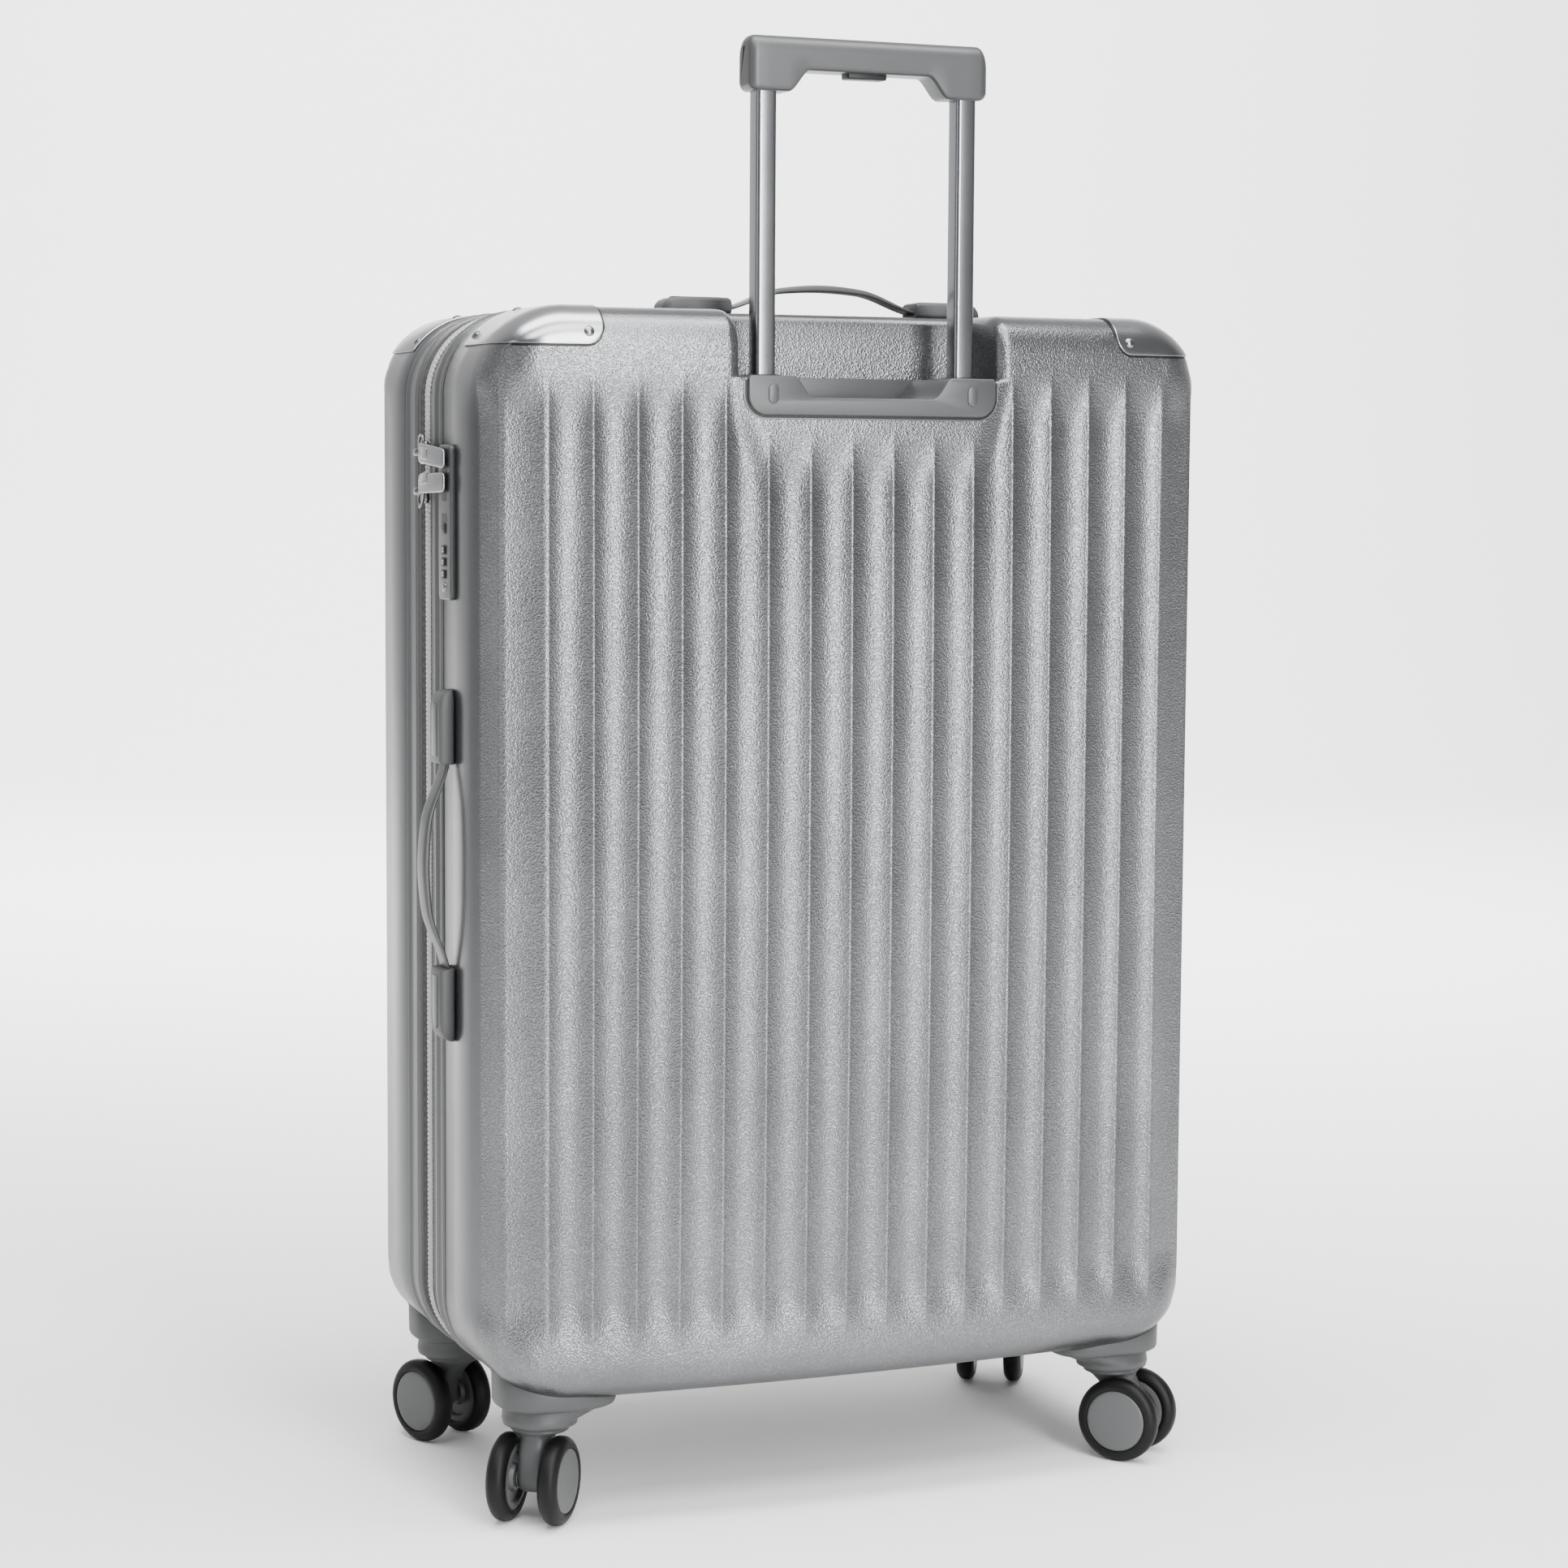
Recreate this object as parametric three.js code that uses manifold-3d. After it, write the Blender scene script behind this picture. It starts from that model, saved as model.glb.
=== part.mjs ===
// Hard shell suitcase on four twin-wheel casters, with a telescopic trolley handle.
//
// Millimetres, +Z up. The front half (the lid) faces -Y and the back half, which
// carries the trolley, faces +Y. The lock and the side handle are on the +X side,
// and the lid's hinge is on the -X side. While the parts are laid out, the floor
// is z = 0 and x = y = 0 is the middle of the case. The last lines move the origin
// to the bottom centre of the whole object's box.

import * as THREE from 'three';
import { mergeVertices } from 'three/addons/utils/BufferGeometryUtils.js';
import Module from 'manifold-3d';

const wasm = await Module();
wasm.setup();

// ---------------------------------------------------------------- driving sizes

const GAP = 0.3; // clearance between neighbouring solids
const HALF_WIDTH = 262; // side plane of the case
const HALF_DEPTH = 140; // edge of the front and back faces
const CROWN = 12; // bulge of those faces in the middle
const BASE_Z = 84; // underside of the case
const TOP_Z = 802; // top of the case
const CORNER_R = 57; // corners seen from the front
const PLAN_R = 40; // upright edges seen from above
const ROLL_R = 25; // top and bottom edges seen from the side
const WALL = 3; // shell wall
const FLUTE_PITCH = 29.5;
const FLUTE_DEPTH = 4.5;
const FLUTE_LOW = 124;
const FLUTE_HIGH = 755;
const FLUTE_HIGH_UNDER_BEZEL = 712;

const BACK_EDGE = 42; // y where the back shell ends
const BACK_RIM = [21.3, 41.7];
const BACK_TAPE = [1.9, 21];
const FRONT_TAPE = [-17.7, 1.6];
const FRONT_RIM = [-45.7, -18];
const FRONT_EDGE = -46; // y where the front shell ends

const NOTCH_HALF = 92.5; // recess that takes the grip
const NOTCH_BACK = 85; // y of the recess's back wall
const BEZEL_HALF = 89.5;
const BEZEL_Z = [733, 759];
const BEZEL_DIP_Z = 745;
const BEZEL_DIP_HALF = 45;
const BEZEL_FACE = 153.5;
const TUBE_X = 71.5;
const TUBE_Y = 132;
const TUBE_SIZE = [14.3, 15.5];
const SLEEVE_SIZE = [19, 20.2];
const SLEEVE_WALL = 1.2;
const TUBE_Z = [560, 942.7];
const SLEEVE_Z = [125.3, 732.4];
const GRIP_HALF = 85;
const GRIP_Y = [120, 144];
const GRIP_Z = [943, 979];
const GRIP_BAR = 22;

const LOCK_Y = [43.5, 71];
const LOCK_Z = [611, 713];
const LOCK_FACE = 4.2; // how far the lock's face stands off the side
const DIAL_R = 10;
const DIAL_Z = [644, 636, 628];
const SLIDER_Z = [708, 682]; // the two zipper sliders

const HANDLE_HALF = 117; // half length of a carry handle, mounts included
const HANDLE_MOUNT = 49;
const HANDLE_RISE = 10.5;
const HANDLE_WIDTH = 25;
const SIDE_HANDLE_Z = 435;
const HANDLE_Y = 57;

const CASTER_X = 214;
const CASTER_Y = 100;
const WHEEL_R = 29.5;
const WHEEL_WIDTH = 14;
const DISC_R = 22;
const WHEEL_SPACING = 36; // between the two wheels' middles
const TRAIL = 13;
const AXLE_R = 3;
// heading of each caster, degrees anticlockwise from +X, as it happens to stand
const CASTERS = [
  { name: 'back_left', x: 1, y: 1, heading: 52 },
  { name: 'back_right', x: -1, y: 1, heading: 131 },
  { name: 'front_left', x: 1, y: -1, heading: 293 },
  { name: 'front_right', x: -1, y: -1, heading: 240 },
];

// ---------------------------------------------------------------- materials

const finish = (color, roughness, metalness) =>
  new THREE.MeshStandardMaterial({ color, roughness, metalness });

const SHELL = finish(0xa9abad, 0.42, 0.55);
const RIM = finish(0x8f9193, 0.5, 0.4);
const TAPE = finish(0x8a8a8a, 0.9, 0);
const GUARD = finish(0xb6b8ba, 0.3, 0.85);
const TUBE = finish(0xd0d2d4, 0.25, 0.95);
const PLASTIC = finish(0x868889, 0.5, 0.1);
const DISC = finish(0x7f8081, 0.55, 0.1);
const TYRE = finish(0x2c2c2d, 0.75, 0);
const DARK = finish(0x3a3b3c, 0.5, 0.1);
const ZINC = finish(0x9c9e9f, 0.35, 0.8);

// ---------------------------------------------------------------- solids

/** Closed solid from a closed three.js geometry. */
function solid(geometry) {
  const bare = geometry.clone();
  for (const name of ['normal', 'uv']) bare.deleteAttribute(name);
  const merged = mergeVertices(bare, 1e-4);
  return new wasm.Manifold(new wasm.Mesh({
    numProp: 3,
    vertProperties: Float32Array.from(merged.attributes.position.array),
    triVerts: Uint32Array.from(merged.index.array),
  }));
}

/** three.js geometry from a solid. */
function geometryOf(body) {
  const mesh = body.getMesh();
  const geometry = new THREE.BufferGeometry();
  const points = new Float32Array(mesh.numVert * 3);
  for (let i = 0; i < mesh.numVert; i += 1) {
    for (let k = 0; k < 3; k += 1) points[3 * i + k] = mesh.vertProperties[mesh.numProp * i + k];
  }
  geometry.setAttribute('position', new THREE.BufferAttribute(points, 3));
  geometry.setIndex(Array.from(mesh.triVerts));
  geometry.computeVertexNormals();
  return geometry;
}

/** Outline of a rectangle with round corners. */
function roundedRect(u0, u1, v0, v1, r) {
  const shape = new THREE.Shape();
  shape.moveTo(u1, v0 + r);
  shape.lineTo(u1, v1 - r);
  shape.absarc(u1 - r, v1 - r, r, 0, Math.PI / 2, false);
  shape.absarc(u0 + r, v1 - r, r, Math.PI / 2, Math.PI, false);
  shape.absarc(u0 + r, v0 + r, r, Math.PI, 1.5 * Math.PI, false);
  shape.absarc(u1 - r, v0 + r, r, 1.5 * Math.PI, 2 * Math.PI, false);
  return shape;
}

const extrude = (shape, depth, segments) =>
  new THREE.ExtrudeGeometry(shape, { depth, bevelEnabled: false, curveSegments: segments });

/** Prism of an (x, z) outline between two y planes. */
const prismY = (shape, y0, y1, segments = 6) =>
  extrude(shape, y1 - y0, segments).rotateX(Math.PI / 2).translate(0, y1, 0);

/** Prism of an (x, y) outline between two z planes. */
const prismZ = (shape, z0, z1, segments = 6) =>
  extrude(shape, z1 - z0, segments).translate(0, 0, z0);

/** Prism of a (y, z) outline between two x planes. */
function prismX(shape, x0, x1, segments = 6) {
  const turn = new THREE.Matrix4().makeBasis(
    new THREE.Vector3(0, 1, 0), new THREE.Vector3(0, 0, 1), new THREE.Vector3(1, 0, 0));
  return extrude(shape, x1 - x0, segments).applyMatrix4(turn).translate(x0, 0, 0);
}

/** Box between two corners. */
function block([x0, x1], [y0, y1], [z0, z1]) {
  return new THREE.BoxGeometry(x1 - x0, y1 - y0, z1 - z0)
    .translate((x0 + x1) / 2, (y0 + y1) / 2, (z0 + z1) / 2);
}

/** Round bar along an axis, from a centre point at its low end. */
function bar(axis, radius, length, [x, y, z], sides = 16) {
  const geometry = new THREE.CylinderGeometry(radius, radius, length, sides).translate(0, length / 2, 0);
  if (axis === 'z') geometry.rotateX(Math.PI / 2);
  if (axis === 'x') geometry.rotateZ(-Math.PI / 2);
  return geometry.translate(x, y, z);
}

const suitcase = new THREE.Group();

/** Adds one named mesh to a group. */
function part(name, geometry, material, group = suitcase) {
  const mesh = new THREE.Mesh(geometry, material);
  mesh.name = name;
  group.add(mesh);
  return mesh;
}

// ---------------------------------------------------------------- the two shells

/** Height of the crowned face above its edge, at x. */
const crownAt = (x) => CROWN * Math.max(0, 1 - (x / (HALF_WIDTH - PLAN_R)) ** 2);

/** Plan outline with round corners and crowned front and back faces. */
function planOutline(side, face, radius) {
  const half = HALF_WIDTH + side;
  const depth = HALF_DEPTH + face;
  const flat = half - radius;
  const steps = 12;
  const shape = new THREE.Shape();
  for (const sign of [1, -1]) {
    const start = sign > 0 ? 0 : Math.PI;
    shape.absarc(sign * flat, sign * (depth - radius), radius, start, start + Math.PI / 2, false);
    for (let k = 1; k < steps; k += 1) {
      const x = sign * flat * (1 - 2 * k / steps);
      shape.lineTo(x, sign * (depth + crownAt(x)));
    }
    shape.absarc(-sign * flat, sign * (depth - radius), radius, start + Math.PI / 2, start + Math.PI, false);
  }
  return shape;
}

/** The whole case as one solid, grown by `side` on its sides and `face` on its faces. */
function caseBody(side, face) {
  const reach = HALF_WIDTH + 40;
  const front = solid(prismY(
    roundedRect(-HALF_WIDTH - side, HALF_WIDTH + side, BASE_Z - side, TOP_Z + side, CORNER_R + side),
    -reach, reach, 4));
  const plan = solid(prismZ(planOutline(side, face, PLAN_R + Math.min(side, 0)), 0, TOP_Z + 60, 3));
  const profile = solid(prismX(
    roundedRect(-HALF_DEPTH - CROWN - face, HALF_DEPTH + CROWN + face,
      BASE_Z - side, TOP_Z + side, ROLL_R), -reach, reach, 3));
  return front.intersect(plan).intersect(profile);
}

/** Rounded groove along z that fades out at both ends. */
function flute(low, high) {
  const radius = (FLUTE_PITCH ** 2 / 4 + FLUTE_DEPTH ** 2) / (2 * FLUTE_DEPTH);
  const skin = radius - FLUTE_DEPTH;
  const fade = 26;
  const profile = [[0, low], [skin, low], [radius, low + fade], [radius, high - fade], [skin, high], [0, high]]
    .map(([r, z]) => new THREE.Vector2(r, z));
  return { skin, geometry: new THREE.LatheGeometry(profile, 32).rotateX(Math.PI / 2) };
}

/** Cuts the grooves into one face; sign is +1 for the back and -1 for the front. */
function cutFlutes(body, sign, highAt) {
  let result = body;
  for (let k = -7; k <= 7; k += 1) {
    const x = k * FLUTE_PITCH;
    const { skin, geometry } = flute(FLUTE_LOW, highAt(Math.abs(k)));
    geometry.translate(x, sign * (HALF_DEPTH + crownAt(x) + skin), 0);
    result = result.subtract(solid(geometry));
  }
  const corner = THREE.MathUtils.degToRad(67.5);
  for (const side of [1, -1]) {
    const { skin, geometry } = flute(FLUTE_LOW, FLUTE_HIGH);
    geometry.translate(
      side * (HALF_WIDTH - PLAN_R + (PLAN_R + skin) * Math.cos(corner)),
      sign * (HALF_DEPTH - PLAN_R + (PLAN_R + skin) * Math.sin(corner)), 0);
    result = result.subtract(solid(geometry));
  }
  return result;
}

const FAR = 400;
const behind = (y) => solid(block([-FAR, FAR], [y, FAR], [0, 2 * FAR + 200]));
const before = (y) => solid(block([-FAR, FAR], [-FAR, y], [0, 2 * FAR + 200]));
const outer = caseBody(0, 0);
const inner = caseBody(-WALL, -WALL - FLUTE_DEPTH);

const recess = solid(block([-NOTCH_HALF, NOTCH_HALF], [NOTCH_BACK, FAR], [BEZEL_Z[1] + 1, FAR + 600]))
  .add(solid(block([-BEZEL_HALF - GAP, BEZEL_HALF + GAP], [NOTCH_BACK, FAR], [BEZEL_Z[0] - GAP, BEZEL_Z[1] + 2])));
const recessWall = solid(block([-NOTCH_HALF - WALL, NOTCH_HALF + WALL],
  [NOTCH_BACK - WALL, FAR], [BEZEL_Z[0] - GAP - WALL, FAR + 600]));

let backShell = outer.intersect(behind(BACK_EDGE));
backShell = cutFlutes(backShell, 1, (k) => {
  if (k > 3) return FLUTE_HIGH;
  return k === 3 ? BEZEL_Z[0] : FLUTE_HIGH_UNDER_BEZEL;
});
backShell = backShell.subtract(inner.subtract(recessWall)).subtract(recess);
for (const side of [1, -1]) {
  const [w, d] = SLEEVE_SIZE.map((size) => size / 2 + 0.5);
  backShell = backShell.subtract(solid(block([side * TUBE_X - w, side * TUBE_X + w],
    [TUBE_Y - d, TUBE_Y + d], [BEZEL_Z[0] - 12, BEZEL_Z[0] + 5])));
}
const lockHole = block([HALF_WIDTH - 20, HALF_WIDTH + 20],
  [LOCK_Y[0] + 1.2, LOCK_Y[1] - 1.2], [LOCK_Z[0] + 8, LOCK_Z[1] - 12]);
backShell = backShell.subtract(solid(lockHole));
part('back_shell', geometryOf(backShell), SHELL);

const frontShell = cutFlutes(outer.intersect(before(FRONT_EDGE)), -1, () => FLUTE_HIGH).subtract(inner);
part('front_shell', geometryOf(frontShell), SHELL);

/** Closed hoop that follows the case's edge, between two y planes. */
function hoop([y0, y1], out, into) {
  const shape = roundedRect(-HALF_WIDTH - out, HALF_WIDTH + out, BASE_Z - out, TOP_Z + out, CORNER_R + out);
  shape.holes.push(roundedRect(-HALF_WIDTH + into, HALF_WIDTH - into,
    BASE_Z + into, TOP_Z - into, CORNER_R - into));
  return prismY(shape, y0, y1, 4);
}

part('back_rim', hoop(BACK_RIM, 1, WALL), RIM);
part('zip_tape_back', hoop(BACK_TAPE, -1.5, WALL), TAPE);
part('zip_tape_front', hoop(FRONT_TAPE, -1.5, WALL), TAPE);
part('front_rim', hoop(FRONT_RIM, 0.6, WALL), RIM);
part('hinge_tape', block([-HALF_WIDTH + 3.3, -HALF_WIDTH + 4.5], [-14, 18], [150, 736]), TAPE);

// ---------------------------------------------------------------- corner guards

const skinOver = caseBody(1.5, 1.5).subtract(caseBody(GAP, GAP));
for (const [half, sign, low] of [['back', 1, 94], ['front', -1, 94]]) {
  for (const [hand, side] of [['left', 1], ['right', -1]]) {
    const y = sign > 0 ? [low, FAR] : [-FAR, -low];
    const x = side > 0 ? [185, FAR] : [-FAR, -185];
    const guard = skinOver.intersect(solid(block(x, y, [TOP_Z - 25, TOP_Z + 20])));
    part(`corner_guard_${half}_${hand}`, geometryOf(guard), GUARD);
  }
}

// ---------------------------------------------------------------- casters

const caseClearance = caseBody(GAP, GAP);

/** Corner moulding that holds the swivel, for the corner at (+x, +y). */
function casterHousing() {
  const lobe = solid(prismZ(roundedRect(174, 250, 62, 132, 26), 75, 106, 3));
  const boss = solid(bar('z', 25, 36, [CASTER_X, CASTER_Y, 64], 20));
  return lobe.add(boss).subtract(caseClearance);
}

const housing = casterHousing();
const AXLE_Z = WHEEL_R;

/** Swivelling leg with its axle; the swivel is at x = y = 0 and the wheels trail to +x. */
function casterFork() {
  const side = new THREE.Shape();
  side.moveTo(-17, 61);
  side.lineTo(17, 61);
  side.quadraticCurveTo(TRAIL + 9, 44, TRAIL + 9, AXLE_Z);
  side.absarc(TRAIL, AXLE_Z, 9, 0, -Math.PI, true);
  side.quadraticCurveTo(TRAIL - 11, 48, -17, 61);
  const leg = solid(prismY(side, -9.5, 9.5));
  const cap = solid(bar('z', 20, 3.5, [0, 0, 60.2], 20));
  const axle = solid(bar('y', AXLE_R, WHEEL_SPACING + 6, [TRAIL, -WHEEL_SPACING / 2 - 3, AXLE_Z], 12));
  return leg.add(cap).add(axle);
}

/** Wheel disc, turned about y: closed outside, with a blind bore for the axle. */
function wheelDisc(sign) {
  const w = WHEEL_WIDTH / 2;
  const bore = AXLE_R + GAP;
  const profile = [[0, w], [DISC_R, w], [DISC_R, -w], [bore, -w], [bore, 4.4], [0, 4.4]]
    .map(([r, y]) => new THREE.Vector2(r, sign * y));
  if (sign > 0) profile.reverse();
  return new THREE.LatheGeometry(profile, 16);
}

/** Rubber tyre round the disc. */
function wheelTyre() {
  const w = WHEEL_WIDTH / 2 - 0.2;
  const bead = DISC_R + GAP;
  const profile = [[bead, -w], [WHEEL_R - 2, -w], [WHEEL_R, 3 - w], [WHEEL_R, w - 3], [WHEEL_R - 2, w], [bead, w], [bead, -w]]
    .map(([r, y]) => new THREE.Vector2(r, y));
  return new THREE.LatheGeometry(profile, 20);
}

const fork = geometryOf(casterFork());
for (const { name, x, y, heading } of CASTERS) {
  let moulding = x < 0 ? housing.mirror([1, 0, 0]) : housing;
  if (y < 0) moulding = moulding.mirror([0, 1, 0]);
  part(`caster_housing_${name}`, geometryOf(moulding), PLASTIC);
  const swivel = new THREE.Group();
  swivel.position.set(x * CASTER_X, y * CASTER_Y, 0);
  swivel.rotation.z = THREE.MathUtils.degToRad(heading);
  suitcase.add(swivel);
  part(`caster_fork_${name}`, fork, PLASTIC, swivel);
  for (const [label, sign] of [['a', 1], ['b', -1]]) {
    const place = [TRAIL, sign * WHEEL_SPACING / 2, AXLE_Z];
    part(`wheel_disc_${name}_${label}`, wheelDisc(sign), DISC, swivel).position.set(...place);
    part(`wheel_tyre_${name}_${label}`, wheelTyre(), TYRE, swivel).position.set(...place);
  }
}

// ---------------------------------------------------------------- trolley

/** Rectangular tube of a given outer size about a centre. */
function rectTube([w, d], wall, [x, y], [z0, z1]) {
  const shape = roundedRect(x - w / 2, x + w / 2, y - d / 2, y + d / 2, 3);
  if (wall > 0) {
    shape.holes.push(roundedRect(x - w / 2 + wall, x + w / 2 - wall, y - d / 2 + wall, y + d / 2 - wall, 2));
  }
  return prismZ(shape, z0, z1, 3);
}

let bezel = solid(prismY(roundedRect(-BEZEL_HALF, BEZEL_HALF, BEZEL_Z[0], BEZEL_Z[1] + 20, 14),
  NOTCH_BACK + GAP, BEZEL_FACE));
bezel = bezel.subtract(solid(block([-FAR, FAR], [0, FAR], [BEZEL_Z[1], FAR + 600])));
const dip = new THREE.Shape();
dip.moveTo(-BEZEL_DIP_HALF, BEZEL_DIP_Z);
dip.lineTo(BEZEL_DIP_HALF, BEZEL_DIP_Z);
dip.lineTo(BEZEL_DIP_HALF + 9, BEZEL_Z[1] + 5);
dip.lineTo(-BEZEL_DIP_HALF - 9, BEZEL_Z[1] + 5);
bezel = bezel.subtract(solid(prismY(dip, NOTCH_BACK + 5, FAR)));

for (const [hand, side] of [['left', 1], ['right', -1]]) {
  const centre = [side * TUBE_X, TUBE_Y];
  part(`trolley_tube_${hand}`, rectTube(TUBE_SIZE, 0, centre, TUBE_Z), TUBE);
  part(`trolley_sleeve_${hand}`, rectTube(SLEEVE_SIZE, SLEEVE_WALL, centre, SLEEVE_Z), DARK);
  const [w, d] = TUBE_SIZE.map((size) => size + 2 * GAP);
  bezel = bezel.subtract(solid(rectTube([w, d], 0, centre, [BEZEL_Z[0] - 5, BEZEL_Z[1] + 5])));
}
part('trolley_bezel', geometryOf(bezel), PLASTIC);
part('trolley_foot', block([-86, 86], [116, 141], [112, 125]), DARK);

const grip = new THREE.Shape();
const [gripLow, gripTop] = GRIP_Z;
const barLow = gripTop - GRIP_BAR;
grip.moveTo(GRIP_HALF, gripLow);
grip.lineTo(GRIP_HALF, gripTop - 6);
grip.quadraticCurveTo(GRIP_HALF, gripTop, GRIP_HALF - 6, gripTop);
grip.lineTo(6 - GRIP_HALF, gripTop);
grip.quadraticCurveTo(-GRIP_HALF, gripTop, -GRIP_HALF, gripTop - 6);
grip.lineTo(-GRIP_HALF, gripLow);
grip.lineTo(-55, gripLow);
grip.bezierCurveTo(-51, gripLow + 6, -52, barLow, -40, barLow);
grip.lineTo(40, barLow);
grip.bezierCurveTo(52, barLow, 51, gripLow + 6, 55, gripLow);
const gripSolid = solid(prismY(grip, ...GRIP_Y)).intersect(solid(prismX(
  roundedRect(...GRIP_Y, gripLow - 20, gripTop, 7), -FAR, FAR, 4)));
const buttonPocket = block([-14.5, 14.5], [125.5, 138.5], [barLow - 5, barLow + 9]);
part('trolley_grip', geometryOf(gripSolid.subtract(solid(buttonPocket))), PLASTIC);
part('grip_button', block([-14, 14], [126, 138], [barLow - 4, barLow + 4]), DARK);

// ---------------------------------------------------------------- carry handles

/** Strap between two mounts, in (along, out): its tongues run inside the mounts. */
function strapOutline() {
  const tongue = HANDLE_HALF - 8;
  const mouth = HANDLE_HALF - HANDLE_MOUNT;
  const shape = new THREE.Shape();
  shape.moveTo(-tongue, 1.6);
  shape.lineTo(-mouth - 4, 1.6);
  shape.bezierCurveTo(-mouth + 26, 2, -34, 16, 0, 16);
  shape.bezierCurveTo(34, 16, mouth - 26, 2, mouth + 4, 1.6);
  shape.lineTo(tongue, 1.6);
  shape.lineTo(tongue, 4.2);
  shape.lineTo(mouth + 4, 4.6);
  shape.bezierCurveTo(mouth - 22, 5.4, 32, 21, 0, 21);
  shape.bezierCurveTo(-32, 21, -mouth + 22, 5.4, -mouth - 4, 4.6);
  shape.lineTo(-tongue, 4.2);
  return shape;
}

/** Mount in (along, out), for the end at +along; the strap's channel is cut through it. */
function handleMount() {
  const [start, end] = [HANDLE_HALF - HANDLE_MOUNT, HANDLE_HALF];
  const shape = new THREE.Shape();
  shape.moveTo(start, 0);
  shape.lineTo(end, 0);
  shape.lineTo(end - 2, HANDLE_RISE - 2);
  shape.quadraticCurveTo(end - 4, HANDLE_RISE, end - 8, HANDLE_RISE);
  shape.lineTo(start + 3, HANDLE_RISE);
  shape.lineTo(start, HANDLE_RISE - 1);
  const half = HANDLE_WIDTH / 2;
  const channel = block([start - 5, end - 6], [1.2, 9.3], [-half + 3, half - 3]);
  return solid(extrude(shape, HANDLE_WIDTH, 4).translate(0, 0, -half)).subtract(solid(channel));
}

/** Puts a handle's strap and mounts in place: `along`, `out` and `across` in the case's frame. */
function carryHandle(name, along, out, across, origin) {
  const basis = new THREE.Matrix4().makeBasis(along, out, across).setPosition(origin);
  const strap = extrude(strapOutline(), HANDLE_WIDTH - 7, 8).translate(0, 0, 3.5 - HANDLE_WIDTH / 2);
  part(`${name}_strap`, strap.applyMatrix4(basis), PLASTIC);
  for (const [label, sign] of [['mount_a', 1], ['mount_b', -1]]) {
    const mount = sign > 0 ? handleMount() : handleMount().mirror([1, 0, 0]);
    part(`${name}_${label}`, geometryOf(mount).applyMatrix4(basis), PLASTIC);
  }
}

const [AX, AY, AZ] = [[1, 0, 0], [0, 1, 0], [0, 0, 1]].map((v) => new THREE.Vector3(...v));
carryHandle('top_handle', AX, AZ, AY.clone().negate(), new THREE.Vector3(0, HANDLE_Y, TOP_Z + GAP));
carryHandle('side_handle', AZ.clone().negate(), AX, AY.clone().negate(),
  new THREE.Vector3(HALF_WIDTH + GAP, HANDLE_Y, SIDE_HANDLE_Z));

// ---------------------------------------------------------------- lock and zipper

const sideX = HALF_WIDTH + GAP;
const lockX = HALF_WIDTH + LOCK_FACE;
const lockY = (LOCK_Y[0] + LOCK_Y[1]) / 2;
const dialX = lockX + 1 - DIAL_R;
let lock = solid(prismX(roundedRect(...LOCK_Y, ...LOCK_Z, 5), sideX, lockX, 4));
lock = lock.add(solid(block([HALF_WIDTH - 16, sideX + 1],
  [LOCK_Y[0] + 1.5, LOCK_Y[1] - 1.5], [LOCK_Z[0] + 8.3, LOCK_Z[1] - 12.3])));
for (const z of DIAL_Z) {
  lock = lock.subtract(solid(bar('z', DIAL_R + 0.5, 6.2, [dialX, lockY, z - 3.1], 24)));
}
lock = lock.subtract(solid(block([lockX - 2.2, lockX + 1], [lockY - 4.6, lockY + 4.6], [654.4, 668])));
lock = lock.subtract(solid(bar('x', 3.9, 5, [lockX - 3, lockY, 619.5], 16)));
part('lock_body', geometryOf(lock), PLASTIC);
DIAL_Z.forEach((z, i) => {
  part(`lock_dial_${i + 1}`, bar('z', DIAL_R, 5.4, [dialX, lockY, z - 2.7], 20), DARK);
});
part('lock_button', block([lockX - 1.9, lockX + 0.8], [lockY - 4, lockY + 4], [655, 661.5]), DARK);
part('lock_key_cylinder', bar('x', 3.5, 3.3, [lockX - 2.7, lockY, 619.5], 16), ZINC);

const seamY = (FRONT_TAPE[1] + BACK_TAPE[0]) / 2;
const plateX = HALF_WIDTH - 1.2;
const pivot = [plateX + 6.4, seamY + 3.4];
SLIDER_Z.forEach((z, i) => {
  const label = ['upper', 'lower'][i];
  const arch = new THREE.Shape();
  arch.moveTo(plateX + 3.5, seamY - 6);
  arch.lineTo(plateX + 9.6, seamY - 3.5);
  arch.lineTo(plateX + 9.6, seamY + 6.5);
  arch.lineTo(plateX + 3.5, seamY + 6.5);
  arch.lineTo(plateX + 3.5, seamY + 5.3);
  arch.lineTo(plateX + 8.5, seamY + 5.3);
  arch.lineTo(plateX + 8.5, seamY - 3);
  arch.lineTo(plateX + 3.5, seamY - 4.6);
  const plate = solid(prismX(roundedRect(seamY - 6.5, seamY + 7, z - 8, z + 8, 3), plateX, plateX + 4, 3));
  part(`zipper_slider_${label}`, geometryOf(plate.add(solid(prismZ(arch, z - 1.8, z + 1.8)))), ZINC);
  const [px, py] = pivot;
  const arms = solid(block([px - 1.2, px + 1.2], [py - 1.2, py + 14], [z - 4.6, z + 4.6]))
    .subtract(solid(block([px - 3, px + 3], [py + 1.2, py + 11], [z - 2.8, z + 2.8])));
  const tab = solid(prismX(roundedRect(py + 12, lockY + 10, z - 6.6, z + 6.6, 3), px + 0.5, px + 2.7, 3));
  part(`zipper_pull_${label}`, geometryOf(arms.add(tab)), ZINC);
});

// ---------------------------------------------------------------- origin

const bounds = new THREE.Box3().setFromObject(suitcase, true);
const middle = bounds.getCenter(new THREE.Vector3());
suitcase.position.set(-middle.x, -middle.y, -bounds.min.z);
const assembly = new THREE.Group();
assembly.add(suitcase);

export default assembly;
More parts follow.
